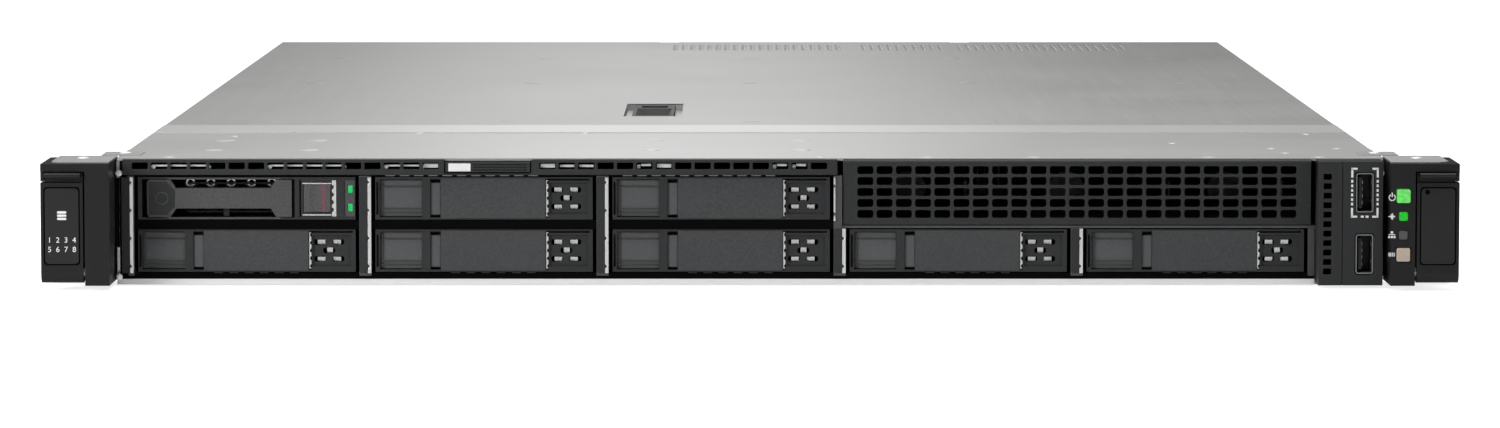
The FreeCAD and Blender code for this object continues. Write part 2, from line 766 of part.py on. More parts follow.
def ear_shell(cutters):
    back = -BRACKET_SHEET
    column_right = lever_left() - LEVER_SIDE_GAP
    column = box(ear_inner(), column_right, EAR_FRONT, back, EAR_BOTTOM, EAR_TOP)
    band = box(ear_inner(), HALF_RACK, EAR_FRONT, back, EAR_TOP - EAR_BAND, EAR_TOP)
    rear_wall = box(ear_inner(), HALF_RACK, back - EAR_BACK, back, EAR_BOTTOM, EAR_TOP)
    hollow = box(
        ear_inner() + EAR_WALL,
        column_right - EAR_WALL,
        EAR_FRONT + EAR_WALL,
        back + 1,
        EAR_BOTTOM + EAR_WALL,
        EAR_TOP - EAR_BAND,
    )
    screw_x = lever_left() + LEVER_WIDTH / 2
    screw_start = V(screw_x, back - EAR_BACK - 1, BODY_HEIGHT / 2)
    screw_hole = polygon_rod(screw_start, V(0, EAR_BACK + 2, 0), SCREW_RADIUS_RACK + SLIDE_GAP, SCREW_SIDES)
    pin = rod_x(column_right - 0.6, HALF_RACK - 0.4, LEVER_PIN_Y, LEVER_PIN_Z, LEVER_PIN_RADIUS)
    shell = fuse([column, band, rear_wall]).cut([hollow, screw_hole] + cutters)
    return fuse([shell, pin])


def left_ear():
    return mirrored(ear_shell([]))


def right_ear():
    cutters = []
    x = BUTTON_COLUMN_X
    for z in (POWER_BUTTON_Z, LOCATOR_BUTTON_Z):
        a = BUTTON_SIZE / 2 + FIT_GAP
        cutters.append(box(x - a, x + a, EAR_FRONT - 1, EAR_FRONT + 3, z - a, z + a))
    for z in (HEALTH_LIGHT_Z, NETWORK_LIGHT_Z):
        a = LIGHT_SIZE / 2
        cutters.append(box(x - a, x + a, EAR_FRONT - 1, EAR_FRONT + 3, z - a, z + a))
    return ear_shell(cutters)


def ear_lever():
    left = lever_left()
    right = HALF_RACK
    y = EAR_FRONT
    back = y + LEVER_THICK
    top = EAR_TOP - EAR_BAND - LEVER_TOP_GAP
    lip_bottom = top - LIP_HEIGHT
    outline = [
        (y, LEVER_PIN_Z),
        (y, lip_bottom - 1.6),
        (y + 1.2, lip_bottom - 0.8),
        (y + 1.2, lip_bottom),
        (y - LIP_REACH + 0.6, lip_bottom),
        (y - LIP_REACH, lip_bottom + LIP_HEIGHT / 2),
        (y - LIP_REACH + 0.6, top),
        (back, top),
        (back, LEVER_PIN_Z),
    ]
    blade = prism_along_x(outline, left, right)
    toe = rod_x(left, right, LEVER_PIN_Y, LEVER_PIN_Z, LEVER_THICK / 2)
    bore = rod_x(left - 1, right + 1, LEVER_PIN_Y, LEVER_PIN_Z, LEVER_PIN_RADIUS + PIN_CLEARANCE)
    panel = slot(
        (left + right) / 2,
        LEVER_PANEL_Z,
        LEVER_WIDTH - 2.0,
        LEVER_PANEL_HEIGHT,
        1.0,
        y - 1,
        y + LEVER_PANEL_DEPTH,
    )
    hollow = box(
        left + EAR_WALL,
        right - EAR_WALL,
        y + 2.0,
        back + 1,
        LEVER_PIN_Z + LEVER_THICK,
        lip_bottom - 3,
    )
    return fuse([blade, toe]).cut([bore, panel, hollow])


def button(x, z):
    a = BUTTON_SIZE / 2
    cap = slot(x, z, 2 * a, 2 * a, 0.8, EAR_FRONT - BUTTON_PROUD, EAR_FRONT + 1.0)
    end = EAR_FRONT + EAR_WALL + BUTTON_DEPTH
    flange = box(x - a + 0.2, x + a - 0.2, EAR_FRONT + 1.0, end, z - 1.6, z + 1.6)
    return fuse([cap, flange])


def status_lights():
    lights = []
    for z in (HEALTH_LIGHT_Z, NETWORK_LIGHT_Z):
        a = LIGHT_SIZE / 2
        lights.append(slot(BUTTON_COLUMN_X, z, 2 * a, 2 * a, 0.6, EAR_FRONT - 0.1, EAR_FRONT + EAR_WALL + 2))
    return group(lights)


def rack_screw():
    x = lever_left() + LEVER_WIDTH / 2
    z = BODY_HEIGHT / 2
    seat = V(x, -BRACKET_SHEET, z)
    head = polygon_rod(seat, V(0, -SCREW_LENGTH_RACK, 0), SCREW_RADIUS_RACK, SCREW_SIDES)
    shank = polygon_rod(seat, V(0, BRACKET_SHEET + SCREW_LENGTH_RACK, 0), RACK_SCREW_SHANK, SCREW_SIDES)
    return fuse([head, shank])


def rack_screws():
    return group([rack_screw(), mirrored(rack_screw())])


# Drives, carrier and blanks

def piece_left(column):
    return bay_left(column) + (BAY_OPENING - BLANK_WIDTH) / 2


def bay_middle(upper):
    bottom = UPPER_BAY_BOTTOM if upper else LOWER_BAY_BOTTOM
    return bottom + BAY_HEIGHT / 2


def bay_blank(column, upper):
    x = piece_left(column)
    z = bay_middle(upper)
    low = z - BLANK_HEIGHT / 2
    high = z + BLANK_HEIGHT / 2
    back = FRONT + BLANK_DEPTH
    outer = box(x, x + BLANK_WIDTH, FRONT, back, low, high)
    inner = box(
        x + BLANK_WALL,
        x + BLANK_WIDTH - BLANK_WALL,
        FRONT + BLANK_WALL + 0.4,
        back + 1,
        low + BLANK_WALL,
        high - BLANK_WALL,
    )
    grip_end = FRONT + RECESS_DEPTH + BLANK_WALL
    grip_back = box(x, x + RECESS_RIGHT + BLANK_WALL, FRONT + 1, grip_end, low + 1, high - 1)
    shell = outer.cut(inner).fuse(grip_back)
    grip = box(x + RECESS_LEFT, x + RECESS_RIGHT, FRONT - 1, FRONT + RECESS_DEPTH, low + 1.2, high - 1.2)
    groove = box(x + GROOVE_LEFT, x + GROOVE_RIGHT, FRONT - 1, FRONT + 3, low + 1.2, high - 1.2)
    inset = box(x + VENT_PANEL_LEFT, x + VENT_PANEL_RIGHT, FRONT - 1, FRONT + 0.5, low + 1.0, high - 1.0)
    return shell.cut([grip, groove, inset] + blank_vents(x, z))


def blank_vents(x, z):
    middle = x + VENT_PANEL_LEFT + 2 * BLANK_HOLE_X
    places = [(middle, z)]
    for side in (-1, 1):
        for level in (-1, 1):
            places.append((middle + side * BLANK_HOLE_X, z + level * BLANK_HOLE_Z))
    return [window(px, pz, BLANK_HOLE_WIDTH, BLANK_HOLE_HEIGHT, FRONT - 1, FRONT + 3) for px, pz in places]


def carrier_x():
    return piece_left(0)


def drive_carrier():
    x = carrier_x()
    z = bay_middle(True)
    low = z - BLANK_HEIGHT / 2
    high = z + BLANK_HEIGHT / 2
    bezel_back = FRONT + BEZEL_DEPTH
    rail = CARRIER_RAIL
    outer = box(x, x + BLANK_WIDTH, FRONT, bezel_back, low, high)
    lever_room = box(x + 1.4, x + BUTTON_FRAME_LEFT, FRONT - 1, bezel_back - 1.4, low + rail, high - rail)
    room_left = x + BUTTON_FRAME_LEFT + 1
    room_right = x + BLANK_WIDTH - BUTTON_ROOM_INSET
    button_room = box(room_left, room_right, FRONT + 1.6, bezel_back - 1.4, low + rail, high - rail)
    button_x = x + CARRIER_BUTTON_LEFT
    gap = FIT_GAP / 2
    button_hole = box(
        button_x - gap,
        button_x + CARRIER_BUTTON_WIDTH + gap,
        FRONT - 1,
        FRONT + 3,
        z - CARRIER_BUTTON_HEIGHT / 2 - gap,
        z + CARRIER_BUTTON_HEIGHT / 2 + gap,
    )
    cutters = [lever_room, button_room, button_hole]
    for side in (-1, 1):
        middle = z + side * CARRIER_LIGHT_OFFSET
        cutters.append(slot(light_x(), middle, 2.3, 3.2, 0.4, FRONT - 1, FRONT + 3))
    for k in range(6):
        left = x + 6 + 9 * k
        cutters.append(box(left, left + 6.5, bezel_back - 3, bezel_back + 1, high - 5.2, high - 2.2))
    bezel = outer.cut(cutters)
    pin = rod_z(x + CARRIER_PIN_X, FRONT + CARRIER_PIN_Y, low + 0.2, high - 0.2, CARRIER_PIN_RADIUS)
    rails = []
    for left in (x, x + BLANK_WIDTH - CARRIER_WALL):
        end = FRONT + CARRIER_LENGTH
        rails.append(box(left, left + CARRIER_WALL, bezel_back - 1, end, low + 1.4, high - 1.4))
    bars = []
    for y in (bezel_back + 16, FRONT + CARRIER_LENGTH - 24):
        bars.append(box(x, x + BLANK_WIDTH, y, y + 8, low + 1.4, low + 2.2))
    return fuse([bezel, pin] + rails + bars)


def light_x():
    return carrier_x() + BLANK_WIDTH - LIGHT_INSET


def carrier_drive():
    x = carrier_x() + (BLANK_WIDTH - DRIVE_WIDTH) / 2
    z = bay_middle(True) - BLANK_HEIGHT / 2 + 2.2
    y = FRONT + BEZEL_DEPTH + 0.6
    body = box(x, x + DRIVE_WIDTH, y, y + DRIVE_LENGTH, z, z + DRIVE_THICK)
    step = box(x + 12, x + 46, y + DRIVE_LENGTH - 5, y + DRIVE_LENGTH + 1, z + 1.4, z + DRIVE_THICK - 2.6)
    return body.cut(step)


def carrier_lever():
    x = carrier_x()
    z = bay_middle(True)
    pin_x = x + CARRIER_PIN_X
    y = FRONT - 0.2
    thick = CARRIER_LEVER_THICK
    pad = BLANK_HEIGHT / 2 - CARRIER_RAIL - 0.2
    bar = CARRIER_BAR_HEIGHT / 2
    right = x + CARRIER_LEVER_RIGHT
    pad_right = pin_x + CARRIER_PAD_WIDTH - 2.4
    outline = [
        (pin_x, z - pad),
        (pad_right, z - pad),
        (pad_right + 2.6, z - bar),
        (right - 6.6, z - bar),
        (right - 3.2, z - pad),
        (right, z - pad),
        (right, z + pad),
        (right - 3.2, z + pad),
        (right - 6.6, z + bar),
        (pad_right + 2.6, z + bar),
        (pad_right, z + pad),
        (pin_x, z + pad),
    ]
    blade = prism_along_y(outline, y, y + thick)
    heel = rod_z(pin_x, FRONT + CARRIER_PIN_Y, z - pad, z + pad, thick / 2)
    bore = rod_z(pin_x, FRONT + CARRIER_PIN_Y, z - 10, z + 10, CARRIER_PIN_RADIUS + PIN_CLEARANCE)
    hook = box(right - 2.0, right, y + thick - 0.5, y + thick + 2.4, z - 2.0, z + 2.0)
    return fuse([blade, heel, hook]).cut(bore)


def carrier_button():
    x = carrier_x() + CARRIER_BUTTON_LEFT
    z = bay_middle(True)
    b = CARRIER_BUTTON_HEIGHT / 2
    cap = box(x, x + CARRIER_BUTTON_WIDTH, FRONT - 0.2, FRONT + 5.4, z - b, z + b)
    scoop = rod_z(x + CARRIER_BUTTON_WIDTH / 2, FRONT - 9.4, z - b - 1, z + b + 1, 9.6)
    return cap.cut(scoop)


def carrier_lights():
    lenses = []
    for side in (-1, 1):
        z = bay_middle(True) + side * CARRIER_LIGHT_OFFSET
        lenses.append(slot(light_x(), z, 2.3, 3.2, 0.4, FRONT - 0.1, FRONT + 3))
    return group(lenses)


def drive_backplane():
    y = CAGE_BACK + FIT_GAP
    left = BAY_FIRST_LEFT
    right = CAGE_RIGHT - DIVIDER / 2
    upper_right = bay_left(UPPER_BAY_COLUMNS) - DIVIDER
    board = fuse([
        box(left, right, y, y + BOARD_SHEET, BOARD_BOTTOM - 2, SHELF_Z),
        box(left, upper_right, y, y + BOARD_SHEET, SHELF_Z, UPPER_BAY_TOP),
    ])
    plugs = []
    holes = []
    for column in range(BAY_COLUMNS):
        for upper in (False, True):
            if upper and column >= UPPER_BAY_COLUMNS:
                continue
            x = piece_left(column)
            z = bay_middle(upper) - 0.9
            end = x + PLUG_START + PLUG_WIDTH
            hole = x + BLANK_WIDTH - PLANE_HOLE_INSET
            plugs.append(box(x + PLUG_START, end, y - PLUG_REACH, y + 0.1, z - 2.2, z + 2.2))
            holes.append(box(hole - PLANE_HOLE_WIDTH, hole, y - 1, y + 3, z - 3, z + 4))
    return fuse([board.cut(holes)] + plugs)


# Fans

def fan_x(index):
    return (index - (FAN_COUNT - 1) / 2) * FAN_PITCH


def fan_cradle():
    front = FAN_FRONT - CRADLE_LIP
    back = FAN_BACK + CRADLE_LIP
    left = fan_x(0) - FAN_SIZE / 2 - CRADLE_END
    right = fan_x(FAN_COUNT - 1) + FAN_SIZE / 2 + CRADLE_END
    pieces = [box(left, right, front, back, FLOOR, FLOOR + CRADLE_SHEET)]
    for i in range(FAN_COUNT):
        for side in (-1, 1):
            edge = fan_x(i) + side * (FAN_SIZE / 2 + FIT_GAP)
            x0 = edge if side > 0 else edge - CRADLE_SHEET
            pieces.append(box(x0, x0 + CRADLE_SHEET, front, back, FLOOR, FLOOR + CRADLE_HEIGHT))
    return fuse(pieces)


def fan_frame(index):
    x = fan_x(index)
    a = FAN_SIZE / 2
    body = box(x - a, x + a, FAN_FRONT, FAN_BACK, FAN_Z - a, FAN_Z + a)
    duct = polygon_rod(V(x, FAN_FRONT - 1, FAN_Z), V(0, FAN_DEPTH + 2, 0), FAN_BORE, FAN_DUCT_SIDES)
    motor = polygon_rod(V(x, FAN_BACK - FAN_STRUT, FAN_Z), V(0, FAN_STRUT, 0), FAN_HUB, FAN_HUB_SIDES)
    struts = []
    for angle in (45, 135):
        strut = box(-FAN_BORE - 1, FAN_BORE + 1, FAN_BACK - FAN_STRUT, FAN_BACK, -1, 1)
        strut.rotate(V(0, 0, 0), V(0, 1, 0), angle)
        strut.translate(V(x, 0, FAN_Z))
        struts.append(strut)
    bearing = V(x, FAN_BACK - FAN_STRUT - 1, FAN_Z)
    bearing_hole = polygon_rod(bearing, V(0, FAN_STRUT + 2, 0), FAN_SHAFT + FAN_SHAFT_GAP, FAN_SHAFT_SIDES)
    return fuse([body.cut(duct), motor] + struts).cut(bearing_hole)


def fan_frames():
    return group([fan_frame(i) for i in range(FAN_COUNT)])


def fan_blade():
    # A cambered plate: a thin bent section stretched outwards from the hub.
    axial = (FAN_DEPTH - FAN_STRUT) * BLADE_CHORD / 2
    lead = axial * math.tan(math.radians(BLADE_LEAD_ANGLE))
    trail = axial * math.tan(math.radians(BLADE_TRAIL_ANGLE))
    middle = FAN_FRONT + (FAN_DEPTH - FAN_STRUT) / 2
    t = FAN_BLADE_THICK
    outline = [
        (-lead, middle - axial),
        (-lead + t, middle - axial),
        (t, middle),
        (trail + t, middle + axial),
        (trail, middle + axial),
        (0, middle),
    ]
    root = FAN_HUB * math.cos(math.pi / FAN_HUB_SIDES) - 1.0
    tip = math.sqrt((FAN_BORE - FAN_TIP_GAP) ** 2 - (max(lead, trail) + t) ** 2)
    return prism([V(x, y, root) for x, y in outline], V(0, 0, tip - root))


def fan_rotor(index):
    front = FAN_FRONT + 2.0
    back = FAN_BACK - FAN_STRUT - 1.0
    hub = polygon_rod(V(0, front, 0), V(0, back - front, 0), FAN_HUB, FAN_HUB_SIDES)
    shaft = polygon_rod(V(0, back - 1, 0), V(0, FAN_STRUT + 1.8, 0), FAN_SHAFT, FAN_SHAFT_SIDES)
    blade = fan_blade()
    blades = []
    for k in range(FAN_BLADES):
        turned = blade.copy()
        turned.rotate(V(0, 0, 0), V(0, 1, 0), 360 * k / FAN_BLADES)
        blades.append(turned)
    rotor = fuse([hub, shaft] + blades)
    rotor.translate(V(fan_x(index), 0, FAN_Z))
    return rotor


# System board and what stands on it

def processor_places():
    return [(-PROCESSOR_X, PROCESSOR_Y), (PROCESSOR_X, PROCESSOR_Y)]


def system_board():
    edge = 3.0
    half = INNER_HALF - edge
    back = SUPPLY_FRONT - 4
    wide = box(-half, half, BOARD_FRONT, back, BOARD_BOTTOM, BOARD_TOP)
    tail = box(SUPPLIES_RIGHT + edge, half, back - 1, REAR - 2 * SHEET, BOARD_BOTTOM, BOARD_TOP)
    parts = [wide, tail] + controller_sink() + chokes() + cable_sockets()
    for left in (SUPPLY_1_LEFT, SUPPLY_2_LEFT):
        start = left + POWER_SOCKET_START
        end = start + POWER_SOCKET_WIDTH
        parts.append(box(start, end, back - POWER_SOCKET_DEPTH, back, BOARD_TOP, BOARD_TOP + 12))
    return fuse(parts)


def controller_front():
    return (PROCESSOR_Y + SUPPLY_FRONT) / 2 + 30


def controller_sink():
    left = PROCESSOR_X - CONTROLLER_SIZE
    back = controller_front() + CONTROLLER_SIZE
    pitch = (CONTROLLER_SIZE - CONTROLLER_FIN) / (CONTROLLER_FINS - 1)
    pieces = [box(left, left + CONTROLLER_SIZE, controller_front(), back, BOARD_TOP, BOARD_TOP + 3)]
    for k in range(CONTROLLER_FINS):
        x = left + k * pitch
        pieces.append(box(x, x + CONTROLLER_FIN, controller_front(), back, BOARD_TOP + 2.5, BOARD_TOP + 14))
    return pieces


def chokes():
    pieces = []
    front = controller_front() - 12
    for k in range(CHOKES):
        x = -PROCESSOR_X + 24 + k * (CHOKE_SIZE + 3)
        pieces.append(box(x, x + CHOKE_SIZE, front, front + CHOKE_SIZE, BOARD_TOP, BOARD_TOP + 7))
    return pieces


def cable_sockets():
    pieces = []
    for x, y, z in (panel_route()[-1], drive_route()[-1]):
        seat = y + CABLE_SEAT
        pieces.append(box(x - 8, x + 8, seat, seat + 8, BOARD_TOP, z + 5))
    return pieces


def processor_sockets():
    sockets = []
    for x, y in processor_places():
        frame = box(
            x - SOCKET_WIDTH / 2,
            x + SOCKET_WIDTH / 2,
            y - SOCKET_LENGTH / 2,
            y + SOCKET_LENGTH / 2,
            BOARD_TOP,
            BOARD_TOP + SOCKET_HEIGHT,
        )
        sockets.append(frame)
    return group(sockets)


def heat_sink(x, y):
    bottom = BOARD_TOP + SOCKET_HEIGHT
    left = x - SINK_WIDTH / 2
    pitch = (SINK_WIDTH - FIN_SHEET) / (SINK_FINS - 1)
    outline = [(left, bottom), (left + SINK_WIDTH, bottom)]
    top = bottom + SINK_HEIGHT
    base = bottom + SINK_BASE
    for k in reversed(range(SINK_FINS)):
        fin = left + k * pitch
        outline.append((fin + FIN_SHEET, base if k < SINK_FINS - 1 else top))
        if k < SINK_FINS - 1:
            outline.append((fin + FIN_SHEET, top))
        outline.append((fin, top))
        if k > 0:
            outline.append((fin, base))
    return prism_along_y(outline, y - SINK_LENGTH / 2, y + SINK_LENGTH / 2)


def heat_sinks():
    return group([heat_sink(x, y) for x, y in processor_places()])


def memory_places():
    places = []
    for x, y in processor_places():
        for side in (-1, 1):
            for k in range(MEMORY_PER_BANK):
                places.append((x + side * (BANK_OFFSET + k * MEMORY_PITCH), y, k))
    return places


def memory_sockets():
    sockets = []
    for x, y, k in memory_places():
        a = MEMORY_SOCKET_WIDTH / 2
        b = MEMORY_SLOT_WIDTH / 2
        top = BOARD_TOP + MEMORY_SOCKET_HEIGHT
        outline = [
            (x - a, BOARD_TOP),
            (x + a, BOARD_TOP),
            (x + a, top),
            (x + b, top),
            (x + b, BOARD_TOP + 1),
            (x - b, BOARD_TOP + 1),
            (x - b, top),
            (x - a, top),
        ]
        sockets.append(prism_along_y(outline, y - MEMORY_LENGTH / 2, y + MEMORY_LENGTH / 2))
    return group(sockets)


def memory_modules():
    modules = []
    reach = MEMORY_LENGTH / 2 - 4.4
    low = BOARD_TOP + 1
    for x, y, k in memory_places():
        if k % 2 == 0:
            half = MODULE_SHEET / 2
            modules.append(box(x - half, x + half, y - reach, y + reach, low, low + MODULE_HEIGHT))
    return group(modules)


def air_baffle():
    top = COVER_BOTTOM - 1.0
    low = top - BAFFLE_SHEET
    half = INNER_HALF - 8
    front = PROCESSOR_Y - MEMORY_LENGTH / 2 - 6
    back = PROCESSOR_Y + MEMORY_LENGTH / 2 + 12
    plate = box(-half, half, front, back, low, top)
    cutters = []
    for x, y in processor_places():
        reach = SINK_WIDTH / 2 + 2
        cutters.append(box(x - reach, x + reach, y - SINK_LENGTH / 2, y + SINK_LENGTH / 2, low - 1, top + 1))
    pocket = LATCH_POCKET_WIDTH / 2 + 2
    cutters.append(box(
        LATCH_X - pocket,
        LATCH_X + pocket,
        LATCH_START_Y - 4,
        LATCH_START_Y + LATCH_POCKET_LENGTH + 4,
        low - 1,
        top + 1,
    ))
    walls = []
    for x in (-half, -BAFFLE_SHEET / 2, half - BAFFLE_SHEET):
        walls.append(box(x, x + BAFFLE_SHEET, front, back, BOARD_TOP, low + 0.1))
    return fuse([plate.cut(cutters)] + walls)


# Rear connectors, risers and power supplies

def slot_cover_lefts():
    first = SUPPLIES_RIGHT + SLOT_COVER_GAP
    return [first, first + SLOT_COVER_WIDTH + SLOT_COVER_GAP]


def slot_cover(left):
    back = REAR - SHEET
    z = SLOT_COVER_BOTTOM
    plate = box(left, left + SLOT_COVER_WIDTH, back - COVER_SHEET, back, z, z + SLOT_COVER_HEIGHT)
    tab = box(left, left + COVER_SHEET, back - SLOT_TAB_LENGTH, back, z, z + SLOT_COVER_HEIGHT)
    vents = []
    for k in range(SLOT_VENTS):
        x = left + SLOT_COVER_WIDTH * (k + 1.5) / (SLOT_VENTS + 2)
        middle = z + SLOT_COVER_HEIGHT / 2
        vents.append(window(x, middle, SLOT_VENT_WIDTH, SLOT_COVER_HEIGHT / 2, back - 2, REAR))
    return fuse([plate, tab]).cut(vents)


def slot_covers():
    return group([slot_cover(left) for left in slot_cover_lefts()])


def riser_front():
    return REAR - SHEET - COVER_SHEET - FIT_GAP - RISER_LENGTH


def riser_cage(left):
    back = riser_front() + RISER_LENGTH
    front = riser_front()
    top = ROOF - SLIDE_GAP
    wall_x = left + SLOT_COVER_WIDTH + SHEET
    wall = box(wall_x, wall_x + SHEET, front, back, BOARD_TOP + PORT_HEIGHT + 2, top)
    nose = box(left + 2, wall_x + SHEET, front, front + SHEET, BOARD_TOP, top)
    lip = box(wall_x - RISER_LIP, wall_x + SHEET, front, back, top - SHEET, top)
    rail = box(left + 2, left + 2 + RISER_LIP, front, back - SLOT_TAB_LENGTH - 1, top - SHEET, top)
    return fuse([wall, nose, lip, rail])


def riser_cages():
    return group([riser_cage(left) for left in slot_cover_lefts()])


def riser_board(left):
    x = left + SLOT_COVER_WIDTH - 3
    front = riser_front() + RISER_LENGTH * 0.13
    back = front + RISER_LENGTH * 0.55
    board = box(x, x + BOARD_SHEET, front, back, BOARD_TOP, ROOF - 3)
    z = SLOT_COVER_BOTTOM + SLOT_COVER_HEIGHT / 2
    socket = box(x - SOCKET_DEPTH, x + 0.1, front + 8, back - 4, z - 4, z + 4)
    groove = box(x - SOCKET_DEPTH - 1, x - 3, front + 11, back - 7, z - 0.9, z + 0.9)
    return fuse([board, socket]).cut(groove)


def riser_boards():
    return group([riser_board(left) for left in slot_cover_lefts()])


def first_port_left():
    return SUPPLIES_RIGHT + PORT_LEAD_SHARE * REAR_FIELD


def port_list():
    sizes = [(JACK_WIDTH, PORT_HEIGHT), (DSUB_WIDTH, DSUB_HEIGHT)]
    sizes += [(REAR_USB_WIDTH, REAR_USB_HEIGHT)] * 2
    sizes += [(JACK_WIDTH, PORT_HEIGHT)] * 4
    total = sum(width for width, height in sizes)
    gap = (REAR_FIELD * (1 - PORT_LEAD_SHARE - PORT_END_SHARE) - total) / (len(sizes) - 1)
    ports = []
    left = first_port_left()
    for width, height in sizes:
        ports.append((left + width / 2, width, height))
        left += width + gap
    return ports


def jack(x):
    low = BOARD_TOP
    front = REAR - JACK_DEPTH
    block = box(x - JACK_WIDTH / 2, x + JACK_WIDTH / 2, front, REAR + 0.4, low, low + PORT_HEIGHT)
    a = JACK_OPENING_WIDTH / 2
    outline = [
        (x - a, low + JACK_FLOOR),
        (x + a, low + JACK_FLOOR),
        (x + a, low + JACK_FLOOR + JACK_OPENING_HEIGHT),
        (x + 3, low + JACK_FLOOR + JACK_OPENING_HEIGHT),
        (x + 3, low + PORT_HEIGHT - JACK_FLOOR),
        (x - 3, low + PORT_HEIGHT - JACK_FLOOR),
        (x - 3, low + JACK_FLOOR + JACK_OPENING_HEIGHT),
        (x - a, low + JACK_FLOOR + JACK_OPENING_HEIGHT),
    ]
    return block.cut(prism_along_y(outline, REAR - JACK_DEPTH + JACK_BACK, REAR + 1))


def rear_usb(x):
    low = BOARD_TOP
    half = REAR_USB_WIDTH / 2
    outer = box(x - half, x + half, REAR - 14, REAR + 0.4, low, low + REAR_USB_HEIGHT)
    inner = box(
        x - REAR_USB_WIDTH / 2 + USB_SHELL,
        x + REAR_USB_WIDTH / 2 - USB_SHELL,
        REAR - 13,
        REAR + 1,
        low + USB_SHELL,
        low + REAR_USB_HEIGHT - USB_SHELL,
    )
    tongue = box(
        x - REAR_USB_WIDTH / 2 + 1.4,
        x + REAR_USB_WIDTH / 2 - 1.4,
        REAR - 13.5,
        REAR - 0.4,
        low + REAR_USB_HEIGHT - 2.4,
        low + REAR_USB_HEIGHT - 1.1,
    )
    return fuse([outer.cut(inner), tongue])


def video_port(x):
    low = BOARD_TOP
    plate = box(x - DSUB_WIDTH / 2, x + DSUB_WIDTH / 2, REAR - 8, REAR - SHEET + 0.6, low, low + DSUB_HEIGHT)
    z = low + DSUB_HEIGHT / 2
    shell = prism_along_y([
        (x - 7.2, z - 4),
        (x + 7.2, z - 4),
        (x + 8.6, z + 4),
        (x - 8.6, z + 4),
    ], REAR - 6, REAR + 5.4)
    hollow = prism_along_y([
        (x - 6.5, z - 3.4),
        (x + 6.5, z - 3.4),
        (x + 7.8, z + 3.4),
        (x - 7.8, z + 3.4),
    ], REAR, REAR + 6)
    posts = []
    for side in (-1, 1):
        posts.append(polygon_rod(V(x + side * 12.5, REAR - SHEET, z), V(0, 5, 0), 2.4, 6))
    return fuse([plate, shell.cut(hollow)] + posts)


def rear_ports():
    ports = port_list()
    solids = [jack(ports[0][0]), video_port(ports[1][0])]
    for x, width, height in ports[2:4]:
        solids.append(rear_usb(x))
    for x, width, height in ports[4:]:
        solids.append(jack(x))
    return group(solids)


def power_supply(left):
    right = left + SUPPLY_WIDTH
    low = SUPPLY_BOTTOM
    high = low + SUPPLY_HEIGHT
    face = REAR + 0.6
    case = box(left, right, SUPPLY_FRONT, face, low, high)
    inlet_x = left + INLET_OFFSET
    inlet_z = low + SUPPLY_HEIGHT / 2
    inlet = slot(inlet_x, inlet_z, INLET_WIDTH, INLET_HEIGHT, 4.0, face - INLET_DEPTH, face + 1)
    fan_x_place = right - SUPPLY_FAN_RADIUS - 2.4
    recess = polygon_rod(V(fan_x_place, face - 6, inlet_z), V(0, 7, 0), SUPPLY_FAN_RADIUS, FAN_DUCT_SIDES)
    prongs = []
    for dx, dz in ((-7, -2.5), (0, 2.5), (7, -2.5)):
        x = inlet_x + dx
        z = inlet_z + dz
        prongs.append(box(x - 1, x + 1, face - INLET_DEPTH - 0.5, face - 4, z - 2.5, z + 1.5))
    grille = []
    for angle in (0, 60, 120):
        bar = box(-SUPPLY_FAN_RADIUS - 0.5, SUPPLY_FAN_RADIUS + 0.5, face - 1.6, face - 0.4, -0.8, 0.8)
        bar.rotate(V(0, 0, 0), V(0, 1, 0), angle)
        bar.translate(V(fan_x_place, 0, inlet_z))
        grille.append(bar)
    handle_x = inlet_x + INLET_WIDTH / 2 + 4.4
    reach = face + HANDLE_REACH
    bar = 2 * HANDLE_RADIUS
    handle_low = low + 5
    handle_high = high - 5
    handle = prism_along_x([
        (face - 1, handle_low),
        (reach - 3, handle_low),
        (reach, handle_low + 3),
        (reach, handle_high - 3),
        (reach - 3, handle_high),
        (face - 1, handle_high),
        (face - 1, handle_high - bar),
        (reach - bar - 1, handle_high - bar),
        (reach - bar, handle_high - bar - 1),
        (reach - bar, handle_low + bar + 1),
        (reach - bar - 1, handle_low + bar),
        (face - 1, handle_low + bar),
    ], handle_x - HANDLE_RADIUS, handle_x + HANDLE_RADIUS)
    latch_room = box(left - 1, left + LATCH_WIDTH + 3.4, face - 4.5, face + 1, low + 6, high - 6)
    body = case.cut([inlet, recess, latch_room])
    return fuse([body, handle, latch_pin(left)] + prongs + grille)


def latch_pin(left):
    low = SUPPLY_BOTTOM
    x = left + LATCH_PIN_OFFSET
    return rod_z(x, REAR - 1.6, low + 5, low + SUPPLY_HEIGHT - 5, LATCH_PIN_RADIUS)


def supply_latch(left):
    low = SUPPLY_BOTTOM + 6.4
    high = SUPPLY_BOTTOM + SUPPLY_HEIGHT - 6.4
    x = left + LATCH_PIN_OFFSET
    y = REAR - 1.6
    barrel = polygon_rod(V(x, y, low), V(0, 0, high - low), 1.7, SCREW_SIDES)
    blade = prism_along_z([
        (x - 1.2, y),
        (x - 1.2, y + 15),
        (x - 3.0, y + 17),
        (x - 3.0, y + 20),
        (x - 1.6, y + 20),
        (x + 0.2, y + 15.4),
        (x + 0.2, y),
    ], low + 4, high - 4)
    bore = rod_z(x, y, low - 1, high + 1, LATCH_PIN_RADIUS + PIN_CLEARANCE)
    return fuse([barrel, blade]).cut(bore)


# Cables held inside

